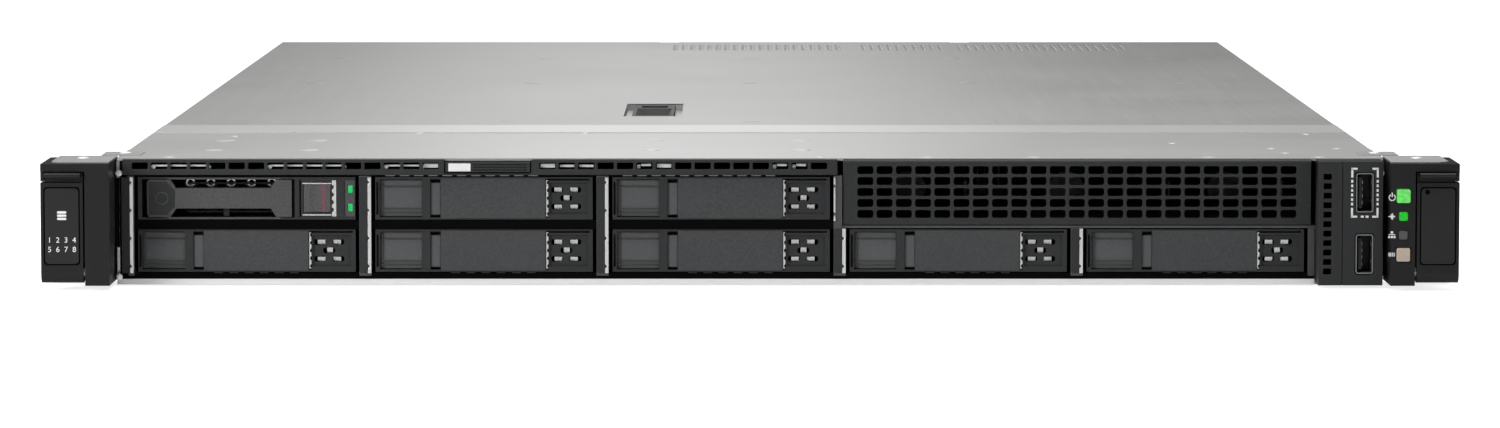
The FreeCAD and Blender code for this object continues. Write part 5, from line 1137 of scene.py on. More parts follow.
right_shell = ear_shell()
left_shell = mirror_twin(right_shell, "left_ear_shell")
right_shell.name = "right_ear_shell"
for z, size in ((POWER_Z, 5.2), (LOCATOR_Z, 5.2), (HEALTH_Z, 3.2), (NETWORK_Z, 3.2)):
    hole = rounded_slot("button_hole", BUTTON_X, z, size, size, 0.5, EAR_FRONT - 1, EAR_FRONT + 3)
    punch(right_shell, hole)
for side, shell, name in ((1, right_shell, "right_ear"), (-1, left_shell, "left_ear")):
    soften(shell, 0.35, 3)
    start = COLUMN_RIGHT - 0.6 if side > 0 else -(LEVER_RIGHT - 0.4)
    pin = rod("lever_pin", (start, PIN_Y, PIN_Z), "X", 15.2, 1.5, 32)
    polish(pin, bright_metal, 0.15)
    paint(shell, ear_plastic)
    shell = join(shell, pin)
    fit(shell, None, "chassis", "ear_plastic", name)
print("ear shell faces:", len(right_shell.data.polygons))

# %% Buttons and lights of the right ear
def cap(name, z, size, proud, depth, material, body, slot, *replaced):
    piece = rounded_slot(name, BUTTON_X, z, size, size, 0.55, EAR_FRONT - proud, EAR_FRONT + depth)
    soften(piece, 0.25, 3)
    fit(piece, material, body, slot, *replaced)
    return piece


cap("power_cap", POWER_Z, 4.6, 0.5, 8.6, power_lens, "power_button", "green_light", "power_button")
cap("locator_cap", LOCATOR_Z, 4.6, 0.5, 8.6, beige, "locator_button", "beige_button", "locator_button")
cap("health_lens", HEALTH_Z, 3.0, 0.1, 3.6, health_lens, "chassis", "green_light", "status_lights")
cap("network_lens", NETWORK_Z, 3.0, 0.1, 3.6, dark_lens, "chassis", "green_light", "status_lights")
print("caps: 4")

# %% [markdown]
# The top is in two sheets: a fixed front deck, and the long cover behind it that lifts off.
# Sheet this thin is stiffened by pressed dimples and folds.
# The cover has fields of small air holes near its back.
# The holes of one field are cut in one go by a repeated rod, and the latch sits in a pressed pocket.

# %% Cover plate with its pocket, holes and notches
REAR = 736.0
BODY_HALF = 217.3
COVER_Y = 115.3
COVER_LOW = 42.4
COVER_HIGH = 43.2
DECK_TOP = 43.1
AIR_PITCH = 3.9
AIR_FIELDS = [(-34.0, 20), (52.0, 10), (96.0, 20)]
in_pocket = from_place(-37.0, 248.5, COVER_HIGH)
cover = block("cover_plate", -BODY_HALF, BODY_HALF, COVER_Y, REAR, COVER_LOW, COVER_HIGH)
punch(cover, block("cover_fold", -220.0, 220.0, COVER_Y + 40.0, 740.0, 42.95, 44.0))
for x in (-37.4, 97.2):
    punch(cover, block("rear_notch", x - 4.5, x + 4.5, REAR - 3.0, REAR + 1.0, 42.0, 44.0))
for left, columns in AIR_FIELDS:
    hole = rod("air_hole", (left, 668.0, 42.0), "Z", 2.0, 1.3, 8)
    repeat(hole, columns, x=AIR_PITCH)
    repeat(hole, 12, y=AIR_PITCH)
    punch(cover, hole)
punch(cover, in_pocket("latch_window", -11.0, 11.0, -37.5, 37.5, -1.2, 0.8))
flanges = []
for side in (-1, 1):
    a, b = sorted((side * 215.1, side * 215.9))
    flanges.append(block("cover_flange", a, b, 119.3, 731.0, 34.2, 42.6))
pocket = in_pocket("latch_pocket", -11.6, 11.6, -38.1, 38.1, -3.7, -0.3)
punch(pocket, in_pocket("pocket_room", -11.0, 11.0, -37.5, 37.5, -3.1, 0.8))
for part in (cover, pocket, *flanges):
    polish(part, cover_metal, 0.2)
# The band over the front strip of the cover is painted lighter than the cover, a painted sheen where the
# strip between the two folds catches the light.
band = block("cover_band", -217.0, 217.0, COVER_Y + 0.3, COVER_Y + 39.0, DECK_TOP, DECK_TOP + 0.35)
polish(band, painted_sheen_metal, 0.15)
cover = assemble("top_cover_sheet", cover, pocket, band, *flanges)
fit(cover, None, "top_cover", "cover_steel", "top_cover", "cover_flanges", "latch_pocket")
print("cover faces:", len(cover.data.polygons))

# %% Cover latch
latch = in_pocket("latch_body", -8.0, 8.0, -32.5, 33.5, -2.2, -0.6)
punch(
    latch,
    in_pocket("latch_finger", -5.0, 5.0, 18.5, 29.5, -3.2, 0.8),
    in_pocket("latch_sink", -6.4, 6.4, -26.5, 13.5, -1.1, -0.2),
)
grip_ribs = in_pocket("latch_rib", -6.0, 6.0, -22.5, -21.3, -1.3, -0.7)
repeat(grip_ribs, 12, y=3.0)
latch_pin = rod("latch_pin", (-45.4, 216.0, 41.5), "X", 16.8, 1.0, 24)
for part in (latch, grip_ribs, latch_pin):
    soften(part, 0.2)
latch = assemble("cover_latch_lever", latch, grip_ribs, latch_pin)
fit(latch, black_plastic, "cover_latch", "black_plastic", "cover_latch")
print("latch faces:", len(latch.data.polygons))

# %% Dimples and rivets pressed into the top
def dome(name, x, y, z, radius, height):
    bpy.ops.object.select_all(action="DESELECT")
    bpy.ops.mesh.primitive_uv_sphere_add(
        segments=24, ring_count=12, radius=1.0, location=(x * MM, y * MM, z * MM))
    bpy.context.active_object.scale = (radius * MM, radius * MM, height * MM)
    piece = settle(name)
    only(piece)
    bpy.ops.object.shade_smooth_by_angle(angle=math.radians(60.0))
    return piece


DECK_RIVETS = [
    (-186.0, 96.0), (-120.0, 112.0), (-60.0, 112.0), (150.0, 60.0),
    (183.0, 34.0), (186.0, 12.0), (206.0, 34.0), (202.0, 108.0),
]
deck_marks = []
for x in (-187.5, -154.3, -34.5, 18.0):
    for y in (27.0, 74.0):
        deck_marks.append(dome("dimple", x, y, DECK_TOP, 3.6, 0.5))
for x in (-200.0, 24.0, 61.0, 98.0, 158.0, 196.0):
    deck_marks.append(dome("front_dimple", x, -7.0, DECK_TOP, 2.4, 0.45))
for x, y in DECK_RIVETS:
    deck_marks.append(dome("rivet", x, y, DECK_TOP, 1.7, 0.45))
deck_fold = block("deck_fold", -217.0, 217.0, 113.9, 115.0, DECK_TOP, DECK_TOP + 0.35)
soften(deck_fold, 0.12)
deck_marks.append(deck_fold)
# The dimples, rivets and fold line of the deck take the lighter sheen finish as a painted highlight.
deck_marks = assemble("deck_dimples", *deck_marks)
fit(deck_marks, painted_sheen_metal, "chassis", "deck_steel")
cover_marks = []
for x in (-180.0, -90.0, 0.0, 90.0, 180.0):
    for y in (180.0, 420.0, 600.0):
        cover_marks.append(dome("cover_dimple", x, y, 42.9, 3.4, 0.3))
cover_marks = assemble("cover_dimples", *cover_marks)
fit(cover_marks, cover_metal, "top_cover", "cover_steel")
print("deck and cover marked")

# %% Light metal plates on the ear tops
for side, name in ((-1, "left"), (1, "right")):
    a, b = sorted((side * 218.4, side * 238.2))
    plate = block("ear_plate", a, b, -30.0, 0.0, 42.75, 43.25)
    bevel_edges(plate, 3.0, 1, lambda place, way: abs(way.z) > 0.9 and abs(place.x) > 230 and place.y < -20)
    a, b = sorted((side * 210.5, side * 224.0))
    step = block("ear_step", a, b, 0.5, 16.0, DECK_TOP, DECK_TOP + 0.4)
    rivets = [
        dome("ear_rivet", side * 229.0, -12.0, 43.25, 2.0, 0.5),
        dome("step_rivet", side * 216.5, 9.0, 43.5, 2.0, 0.5),
    ]
    for part in (plate, step):
        polish(part, cover_metal, 0.12)
    # The rivets take the near-white finish as a painted highlight.
    for rivet in rivets:
        paint(rivet, painted_highlight_metal)
    plate = assemble(name + "_ear_plate", plate, step, *rivets)
    fit(plate, None, "chassis", "chassis_steel")
print("ear plates: 2")

# %% White marks on the ears
def stamp(name, body, slot, marks):
    joined = assemble(name, *marks)
    fit(joined, white_ink, body, slot)
    return joined


def bar(x, z, width, height, y=EAR_FRONT - 0.06):
    return block("mark", x - width / 2, x + width / 2, y, y + 0.12, z - height / 2, z + height / 2)


MARK_X = 218.35
marks = []
marks.append(rod("ring_mark", (MARK_X, EAR_FRONT - 0.06, 31.4), "Y", 0.12, 1.2, 28))
punch(marks[0], rod("ring_core", (MARK_X, EAR_FRONT - 1.0, 31.4), "Y", 2.0, 0.88, 28))
punch(marks[0], block("ring_gap", MARK_X - 0.5, MARK_X + 0.5, EAR_FRONT - 1.0, EAR_FRONT + 1.0, 32.0, 33.5))
marks.append(bar(MARK_X, 32.3, 0.36, 1.5, EAR_FRONT - 0.08))
for dx, height in ((-1.0, 0.3), (-0.6, 0.3), (-0.25, 1.6), (0.15, 2.2), (0.55, 0.9), (0.95, 0.3)):
    marks.append(bar(MARK_X + dx, 24.9, 0.36, height))
marks += [bar(MARK_X, 19.5, 0.8, 0.7), bar(MARK_X, 18.7, 2.2, 0.26)]
marks += [bar(MARK_X + dx, 17.9, 0.7, 0.7) for dx in (-0.9, 0.0, 0.9)]
marks += [bar(MARK_X + dx, 11.9, 0.34, 1.3) for dx in (-0.9, -0.3, 0.3, 0.9)]
stamp("right_ear_marks", "chassis", "ear_plastic", marks)
print("right ear marks:", len(marks))

# %% Stacked discs and plain numbers on the left lever
def number(text, x, z, size):
    bpy.ops.object.select_all(action="DESELECT")
    bpy.ops.object.text_add(
        location=(x * MM, (EAR_FRONT + 0.02) * MM, z * MM), rotation=(math.radians(90), 0, 0))
    words = bpy.context.active_object
    words.data.body = text
    words.data.size = size * MM
    words.data.extrude = 0.05 * MM
    words.data.align_x = "CENTER"
    bpy.ops.object.convert(target="MESH")
    return settle("number")


DISC_X = -RACK_SCREW_X
marks = []
for k in range(3):
    disc = rounded_slot("disc", DISC_X, 24.1 + 1.1 * k, 3.2, 0.8, 0.38, EAR_FRONT - 0.05, EAR_FRONT + 0.2)
    marks.append(disc)
for z, low in ((16.9, 1), (13.7, 5)):
    for k in range(4):
        marks.append(number(str(low + k), DISC_X - 4.2 + 2.8 * k, z - 0.9, 2.6))
stamp("left_lever_marks", "left_lever", "ear_plastic", marks)
print("left lever marks:", len(marks))

# %% Bright screws in the gaps beside the ears
gap_screws = []
# The gap strips are painted shade: dark strips that cover a bright edge in the shaded gaps beside the ears.
gap_strips = []
for side in (-1, 1):
    a, b = sorted((side * 216.0, side * 217.5))
    gap_strips.append(block("gap_strip", a, b, -18.4, -18.1, 13.0, 36.8))
    for z in (3.0, 38.6):
        head = rod("gap_screw", (side * 216.1, EAR_FRONT + 14.0, z), "Y", 1.6, 1.15, 24)
        soften(head, 0.3)
        gap_screws.append(head)
    a, b = sorted((side * 216.4, side * 216.9))
    gap_screws.append(block("gap_edge", a, b, FRONT - 0.6, FRONT + 0.4, 5.0, 14.0))
gap_screws = assemble("gap_screws", *gap_screws)
fit(gap_screws, bright_metal, "chassis", "chassis_steel")
gap_strips = assemble("gap_strips", *gap_strips)
fit(gap_strips, painted_shade, "chassis", "black_plastic")
print("gap screws: 4")

# %% [markdown]
# Two power supplies slide in from the back, each with an inlet, a fan behind a round guard and a handle.
# One is modelled at its place and the other is a copy of it, because the two are the same part.

# %% One power supply
SUPPLY_FACE = 736.6
SUPPLY_LOW = 1.3
SUPPLY_HIGH = 39.9
SUPPLY_MIDDLE = 20.6
SUPPLY_WIDTH = 86.4


def supply_fan_guard(x):
    wires = []
    for radius in (4.4, 8.2, 12.0, 15.8):
        bpy.ops.object.select_all(action="DESELECT")
        bpy.ops.mesh.primitive_torus_add(
            major_radius=radius * MM, minor_radius=0.45 * MM, major_segments=48, minor_segments=8,
            location=(
                x * MM, (SUPPLY_FACE - 0.9) * MM, SUPPLY_MIDDLE * MM), rotation=(math.radians(90), 0, 0))
        wires.append(settle("guard_ring"))
    for k in range(3):
        spoke = rod("guard_spoke", (x - 17.2, SUPPLY_FACE - 1.4, SUPPLY_MIDDLE), "X", 34.4, 0.5, 10)
        only(spoke)
        bpy.ops.transform.rotate(
            value=math.radians(60 * k + 30), orient_axis="Y",
            center_override=(x * MM, (SUPPLY_FACE - 1.4) * MM, SUPPLY_MIDDLE * MM))
        bpy.ops.object.transform_apply(location=True, rotation=True, scale=True)
        wires.append(spoke)
    for wire in wires:
        paint(wire, bright_metal)
    # The disc behind the fan is painted shade, a dark plate where the fan's inside lies in shade.
    plate = rod("fan_back", (x, SUPPLY_FACE - 6.4, SUPPLY_MIDDLE), "Y", 0.6, 17.2, 48)
    paint(plate, painted_shade)
    hub = rod("fan_hub", (x, SUPPLY_FACE - 6.0, SUPPLY_MIDDLE), "Y", 3.0, 7.0, 32)
    polish(hub, black_plastic, 0.5)
    return wires + [plate, hub]


def supply_piece(left):
    right = left + SUPPLY_WIDTH
    inlet_x = left + 26.0
    at_face = from_place(left, SUPPLY_FACE, SUPPLY_MIDDLE)
    case = at_face("supply_case", 0.0, SUPPLY_WIDTH, -190.6, 0.0, -19.3, 19.3)
    vents = rounded_slot("case_vent", left + 12.0, SUPPLY_MIDDLE, 2.6, 26.0, 1.2, 545.0, 549.0)
    repeat(vents, 13, x=5.2)
    fan_x = right - 19.4
    punch(
        case, vents,
        rounded_slot(
            "inlet", inlet_x, SUPPLY_MIDDLE, 27.0, 19.6, 3.6, SUPPLY_FACE - 16, SUPPLY_FACE + 1, 4),
        rod("fan_recess", (fan_x, SUPPLY_FACE - 6.0, SUPPLY_MIDDLE), "Y", 7.0, 17.0, 64),
        at_face("latch_room", -1.0, 8.4, -4.5, 1.0, -13.3, 13.3),
    )
    polish(case, case_metal, 0.5)
    shroud = rounded_slot(
        "shroud", inlet_x, SUPPLY_MIDDLE, 26.9, 19.5, 3.6, SUPPLY_FACE - 15.8, SUPPLY_FACE + 0.5, 4)
    punch(shroud, rounded_slot(
        "plug_room", inlet_x, SUPPLY_MIDDLE, 24.6, 17.2, 3.0, SUPPLY_FACE - 14.6, SUPPLY_FACE + 2, 4))
    polish(shroud, black_plastic, 0.25)
    parts = [case, shroud] + supply_fan_guard(fan_x)
    for dx, dz in ((-7, -2.5), (0, 2.5), (7, -2.5)):
        at_prong = from_place(inlet_x + dx, SUPPLY_FACE, SUPPLY_MIDDLE + dz)
        prong = at_prong("prong", -1.0, 1.0, -15.0, -4.0, -2.5, 1.5)
        polish(prong, bright_metal, 0.3)
        parts.append(prong)
    at_handle = from_place(inlet_x + 17.9, SUPPLY_FACE, SUPPLY_MIDDLE)
    handle = at_handle("handle", -2, 2, -1, 18, -14.3, 14.3)
    punch(handle, at_handle("handle_room", -3, 3, -2, 14, -10.3, 10.3))
    polish(handle, black_plastic, 1.5, 4)
    pin = rod("latch_pin", (left + 3.4, 734.4, SUPPLY_LOW + 5), "Z", SUPPLY_HIGH - SUPPLY_LOW - 10, 1.0, 20)
    paint(pin, bright_metal)
    light = rod("supply_light", (right - 3.2, SUPPLY_FACE - 0.4, SUPPLY_HIGH - 3.4), "Y", 0.7, 1.3, 24)
    polish(light, health_lens, 0.2)
    return join(*parts, handle, pin, light)


def supply_latch_piece(left):
    x = left + 3.4
    barrel = rod("latch_barrel", (x, 734.4, SUPPLY_LOW + 6.4), "Z", 25.8, 1.7, 28)
    blade = block("latch_blade", x - 1.2, x + 0.2, 734.4, 750.0, SUPPLY_LOW + 10.4, SUPPLY_HIGH - 10.4)
    thumb = block("latch_thumb", x - 3.0, x - 1.0, 749.0, 754.4, SUPPLY_LOW + 10.4, SUPPLY_HIGH - 10.4)
    ribs = block("latch_rib", x + 0.1, x + 0.6, 740.0, 741.0, SUPPLY_LOW + 12, SUPPLY_HIGH - 12)
    repeat(ribs, 4, y=2.2)
    fuse(barrel, blade, thumb)
    punch(barrel, rod("bore", (x, 734.4, SUPPLY_LOW), "Z", 40.0, 1.06, 20))
    soften(barrel, 0.25)
    soften(ribs, 0.15)
    return join(barrel, ribs)


SUPPLY_LEFT = -214.3
SUPPLY_PITCH = 88.4
first = supply_piece(SUPPLY_LEFT)
first_latch = supply_latch_piece(SUPPLY_LEFT)
second = twin(first, "supply_2_piece", x=SUPPLY_PITCH)
second_latch = twin(first_latch, "supply_latch_2_piece", x=SUPPLY_PITCH)
first.name = "supply_1_piece"
first_latch.name = "supply_latch_1_piece"
for place, piece, lever_piece in ((1, first, first_latch), (2, second, second_latch)):
    fit(piece, None, "power_supply_%d" % place, "supply_case", "power_supply_%d" % place)
    fit(lever_piece, maroon, "supply_latch_%d" % place, "latch_plastic", "supply_latch_%d" % place)
print("supply faces:", len(first.data.polygons))

# %% [markdown]
# The back also holds the network jacks, a video connector and two peripheral sockets.
# Each jack is a block with a stepped opening, and its eight contacts are one thin bar repeated.

# %% Rear jacks and sockets
BOARD_TOP = 6.6


def jack_piece(x):
    at_jack = from_place(x, REAR, BOARD_TOP)
    body = at_jack("jack", -7.8, 7.8, -21.0, 0.4, 0.0, 13.6)
    punch(
        body,
        at_jack("jack_room", -5.85, 5.85, -15.0, 1.0, 1.6, 10.2),
        at_jack("jack_step", -3.0, 3.0, -15.0, 1.0, 10.0, 12.0),
    )
    polish(body, bright_metal, 0.25)
    # The lining is painted shade at the back of the jack's opening.
    lining = at_jack("jack_lining", -5.8, 5.8, -14.9, -14.3, 1.7, 10.1)
    paint(lining, painted_shade)
    floor_piece = at_jack("jack_floor", -5.7, 5.7, -14.0, -1.0, 1.62, 1.9)
    paint(floor_piece, black_plastic)
    contacts = at_jack("contact", -3.75, -3.35, -13.0, -4.0, 9.5, 9.9)
    repeat(contacts, 8, x=1.02)
    paint(contacts, bright_metal)
    lights = []
    for side, lens in ((-1, health_lens), (1, dark_lens)):
        at_light = from_place(x + side * 5.0, REAR, BOARD_TOP)
        light = at_light("jack_light", -1.4, 1.4, 0.0, 0.55, 10.9, 12.7)
        polish(light, lens, 0.15)
        lights.append(light)
    return join(body, lining, floor_piece, contacts, *lights)


def video_piece(x):
    z = BOARD_TOP + 6.25
    at_port = from_place(x, REAR, z)
    plate = at_port("video_plate", -15.5, 15.5, -8.0, -0.4, -6.25, 6.25)
    shell = at_port("video_shell", -8.6, 8.6, -6.0, 5.4, -4.0, 4.0)
    core = at_port("video_room", -7.8, 7.8, 0.0, 6.0, -3.3, 3.3)
    for part, share in ((shell, 0.84), (core, 0.83)):
        edit(part, "EDGE", lambda place, way: abs(way.y) > 0.9 and place.z < z)
        bpy.ops.transform.resize(value=(share, 1, 1), center_override=(x * MM, 0, 0))
        leave()
    punch(shell, core)
    insert = at_port("video_insert", -6.8, 6.8, -1.0, 4.2, -2.8, 2.8)
    pinholes = rod("pinhole", (x - 4.6, REAR + 1, z - 1.8), "Y", 5.0, 0.5, 10)
    repeat(pinholes, 5, x=2.3)
    repeat(pinholes, 3, z=1.8)
    punch(insert, pinholes)
    for part in (plate, shell):
        polish(part, bright_metal, 0.3)
    polish(insert, socket_plastic, 0.2)
    posts = []
    for side in (-1, 1):
        post = rod("hex_post", (x + side * 12.5, REAR - 1.0, z), "Y", 5.0, 2.4, 6)
        punch(post, rod("thread", (x + side * 12.5, REAR + 1.0, z), "Y", 4.0, 1.2, 20))
        polish(post, bright_metal, 0.2)
        posts.append(post)
    return join(plate, shell, insert, *posts)


def flat_socket(x):
    at_port = from_place(x, REAR, BOARD_TOP)
    shell = at_port("flat_shell", -7.2, 7.2, -14.0, 0.4, 0.0, 7.2)
    punch(shell, at_port("flat_room", -6.8, 6.8, -13.0, 1.0, 0.4, 6.8))
    polish(shell, bright_metal, 0.2)
    tongue = at_port("flat_tongue", -5.8, 5.8, -13.5, -0.4, 4.8, 6.1)
    polish(tongue, socket_plastic, 0.2)
    pads = at_port("flat_contact", -4.1, -3.1, -10.0, -1.4, 4.65, 4.8)
    repeat(pads, 4, x=2.4)
    paint(pads, bright_metal)
    return join(shell, tongue, pads)


PORT_GAP = 3.52
port_left = 18.34
jack, video, flat = (jack_piece, 15.6), (video_piece, 31.0), (flat_socket, 14.4)
pieces = []
for make_port, width in (jack, video, flat, flat, jack, jack, jack, jack):
    pieces.append(make_port(port_left + width / 2))
    port_left += width + PORT_GAP
rear_sockets = assemble("rear_sockets", *pieces)
fit(rear_sockets, None, "chassis", "bright_plate", "rear_ports")
print("rear sockets:", len(pieces))

# %% Slot covers of the two card spaces
def driver_cross(head, x, z, y0, y1, reach, half):
    """Cuts a driver's cross into a head that faces along Y."""
    punch(
        head,
        block("cross", x - reach, x + reach, y0, y1, z - half, z + half),
        block("cross", x - half, x + half, y0, y1, z - reach, z + reach),
    )


covers = []
for left in (-28.9, 93.7):
    plate = block("slot_plate", left, left + 114.0, 734.2, 735.0, 22.1, 40.5)
    vents = rounded_slot("slot_vent", left + 15.6, 31.3, 4.4, 9.2, 1.6, 733.0, 736.0)
    repeat(vents, 9, x=10.36)
    punch(plate, vents)
    soften(plate, 0.15)
    fold = block("slot_fold", left, left + 0.8, 724.0, 734.6, 22.1, 40.5)
    soften(fold, 0.15)
    head = rod("slot_screw", (left + 5.0, 735.0, 37.4), "Y", 1.2, 2.4, 28)
    driver_cross(head, left + 5.0, 37.4, 735.8, 737.0, 1.6, 0.3)
    soften(head, 0.15)
    covers += [plate, fold, head]
covers = assemble("card_slot_covers", *covers)
fit(covers, bright_metal, "chassis", "bright_plate", "slot_covers")
print("slot covers: 2")

# %% [markdown]
# Seven small fans under the cover move the air, each a square frame with a round duct and a rotor.
# A blade starts as a flat grid. Its rows are lifted into a shallow arch.
# Its columns are then turned, each a little less than the one before it.
# That twist keeps the tip flatter than the root, as on a real fan.

# %% Fan frames
FAN_X = -174.0
FAN_Z = 21.8
FAN_PITCH = 58.0
BLADE_Y = 140.5
frames = block("fan_frame", FAN_X - 20.0, FAN_X + 20.0, 127.0, 155.0, FAN_Z - 20.0, FAN_Z + 20.0)
punch(frames, rod("duct", (FAN_X, 126.0, FAN_Z), "Y", 30.0, 18.8, 72))
corners = rod("corner_hole", (FAN_X - 16.6, 126.0, FAN_Z - 16.6), "Y", 30.0, 1.6, 16)
repeat(corners, 2, x=33.2)
repeat(corners, 2, z=33.2)
punch(frames, corners)
waists = block("waist", FAN_X - 21.0, FAN_X - 18.2, 131.0, 151.0, FAN_Z - 9.8, FAN_Z + 9.8)
repeat(waists, 2, x=41.2)
punch(frames, waists)
polish(frames, black_plastic, 0.5)
motor = rod("motor", (FAN_X, 153.0, FAN_Z), "Y", 2.0, 9.5, 48)
punch(motor, rod("bearing", (FAN_X, 152.0, FAN_Z), "Y", 5.0, 1.7, 20))
polish(motor, black_plastic, 0.3)
struts = []
for k in range(4):
    strut = block("strut", FAN_X + 8.8, FAN_X + 19.4, 153.0, 155.0, FAN_Z - 0.8, FAN_Z + 0.8)
    only(strut)
    bpy.ops.transform.rotate(
        value=math.radians(45 + 90 * k), orient_axis="Y",
        center_override=(FAN_X * MM, 154.0 * MM, FAN_Z * MM))
    bpy.ops.object.transform_apply(location=True, rotation=True, scale=True)
    polish(strut, black_plastic, 0.3)
    struts.append(strut)
frames = join(frames, motor, *struts)
repeat(frames, 7, x=FAN_PITCH)
frames.name = "fan_housings"
fit(frames, None, "chassis", "black_plastic", "fan_frames")
print("fan frame faces:", len(frames.data.polygons))

# %% Fan rotor with twisted blades
def blade_piece():
    bpy.ops.object.select_all(action="DESELECT")
    bpy.ops.mesh.primitive_grid_add(
        x_subdivisions=5, y_subdivisions=6, size=1.0, location=(13.3 * MM, BLADE_Y * MM, 0.0))
    bpy.context.active_object.scale = (9.6 * MM, 18.0 * MM, 1.0)
    blade = settle("blade")
    for row in range(7):
        across = (row / 6 - 0.5) * 2
        y = BLADE_Y + across * 9.0
        edit(blade, "EDGE", lambda place, way: abs(place.y - y) < 0.4 and abs(way.x) > 0.9)
        bpy.ops.transform.translate(value=(0, 0, (1.0 - across * across) * 1.8 * MM))
        leave()
    for step in range(6):
        x = 8.5 + 9.6 * step / 5
        edit(blade, "EDGE", lambda place, way: abs(place.x - x) < 0.4 and abs(way.x) < 0.5)
        bpy.ops.transform.rotate(
            value=math.radians(52 - 4.5 * step), orient_axis="X", center_override=(0, BLADE_Y * MM, 0))
        leave()
    modify(blade, "SOLIDIFY", thickness=0.9 * MM, offset=0.0)
    soften(blade, 0.15)
    return blade


hub = rod("rotor_hub", (0.0, 129.0, 0.0), "Y", 23.0, 9.5, 48)
bevel_edges(hub, 1.6, 4, lambda place, way: place.y < 130)
bevel_edges(hub, 0.4, 2, lambda place, way: place.y > 151.5)
shaft = rod("rotor_shaft", (0.0, 151.0, 0.0), "Y", 3.8, 1.5, 24)
blade = blade_piece()
blades = []
for k in range(5):
    copy = twin(blade, "blade_copy")
    bpy.ops.transform.rotate(
        value=math.radians(72 * k), orient_axis="Y", center_override=(0, BLADE_Y * MM, 0))
    bpy.ops.object.transform_apply(location=True, rotation=True, scale=True)
    blades.append(copy)
bpy.data.objects.remove(blade)
label = rod("rotor_label", (0.0, 128.9, 0.0), "Y", 0.2, 6.4, 32)
paint(label, white_label)
for part in [hub, shaft] + blades:
    paint(part, black_plastic)
rotor = join(hub, shaft, label, *blades)
only(rotor)
bpy.ops.object.shade_smooth_by_angle(angle=math.radians(35.0))
for k in range(7):
    copy = twin(rotor, "rotor_%d" % (k + 1), x=(k - 3) * FAN_PITCH, z=FAN_Z)
    fit(copy, None, "fan_rotor_%d" % (k + 1), "black_plastic", "fan_rotor_%d" % (k + 1))
print("rotor faces:", len(rotor.data.polygons))
bpy.data.objects.remove(rotor)

# %% [markdown]
# Behind the fans stand two processors under finned heat sinks, with memory on both sides of each.
# Fins, sockets and modules all repeat at one spacing, so each is one small piece and an array.

# %% Heat sinks
SINK_PLACES = (-104.0, 104.0)
FIN_PITCH = 2.672
copper = sheet_metal("copper", tone(206, 128, 92), tone(176, 100, 68), 0.3, 0.9, ALONG_X)


def sink_piece(x):
    base = block("sink_base", x - 39.0, x + 39.0, 214.0, 322.0, 12.6, 16.4)
    fins = block("fin", x - 39.0, x - 38.5, 214.0, 322.0, 16.2, 38.2)
    repeat(fins, 30, x=FIN_PITCH)
    caps = block("fin_cap", x - 39.0, x - 36.9, 214.0, 322.0, 38.1, 38.6)
    repeat(caps, 29, x=FIN_PITCH)
    pipes = rod("heat_pipe", (x - 38.0, 232.0, 18.0), "X", 76.0, 3.0, 20)
    repeat(pipes, 4, y=24.0)
    for part, material in ((base, case_metal), (fins, fin_metal), (caps, fin_metal), (pipes, copper)):
        paint(part, material)
    soften(base, 0.3)
    posts = rod("sink_screw", (x - 34.0, 219.0, 16.0), "Z", 9.0, 2.6, 20)
    repeat(posts, 2, x=68.0)
    repeat(posts, 2, y=98.0)
    polish(posts, bright_metal, 0.3)
    return join(base, fins, caps, pipes, posts)


sinks = assemble("finned_sinks", *[sink_piece(x) for x in SINK_PLACES])
fit(sinks, None, "chassis", "bare_aluminium", "heat_sinks")
print("sink faces:", len(sinks.data.polygons))

# %% Memory sockets and modules
BANKS = (-196.0, -58.0, 12.0, 150.0)
MEMORY_PITCH = 9.2
on_board = from_place(0.0, 0.0, BOARD_TOP)
socket = on_board("memory_socket", -3.2, 3.2, 197.0, 339.0, 0.0, 8.0)
punch(socket, on_board("socket_slot", -0.9, 0.9, 196.0, 340.0, 1.0, 9.0))
polish(socket, socket_plastic, 0.25)
latches = []
for y in (197.0, 335.6):
    clip = on_board("socket_latch", -2.4, 2.4, y, y + 3.4, 6.0, 15.0)
    punch(clip, on_board("latch_slot", -0.9, 0.9, y - 1, y + 5, 5.0, 16.0))
    polish(clip, dark_lens, 0.3)
    latches.append(clip)
socket = join(socket, *latches)
repeat(socket, 6, x=MEMORY_PITCH)
banks = [twin(socket, "bank", x=left) for left in BANKS]
bpy.data.objects.remove(socket)
memory_banks = assemble("memory_banks", *banks)
fit(memory_banks, None, "chassis", "socket_plastic", "memory_sockets")

module = on_board("module", -0.65, 0.65, 201.4, 334.6, 1.0, 32.2)
notches = rod("module_notch", (-2.0, 201.4, BOARD_TOP + 18.0), "X", 4.0, 1.6, 20)
repeat(notches, 2, y=133.2)
punch(module, notches)
polish(module, board_lacquer, 0.15)
chips = on_board("chip", -1.75, 1.75, 206.0, 216.0, 16.0, 28.0)
repeat(chips, 10, y=12.4)
polish(chips, black_plastic, 0.2)
sticker = on_board("sticker", 1.7, 1.85, 230.0, 262.0, 17.5, 26.5)
paint(sticker, white_label)
module = join(module, chips, sticker)
copies = []
for centre in SINK_PLACES:
    for side in (-1, 1):
        for k in (0, 2, 4):
            copies.append(twin(module, "module_copy", x=centre + side * (46.0 + MEMORY_PITCH * k)))
bpy.data.objects.remove(module)
modules = assemble("memory_cards", *copies)
fit(modules, None, "chassis", "circuit_board", "memory_modules")
print("memory modules:", len(copies))

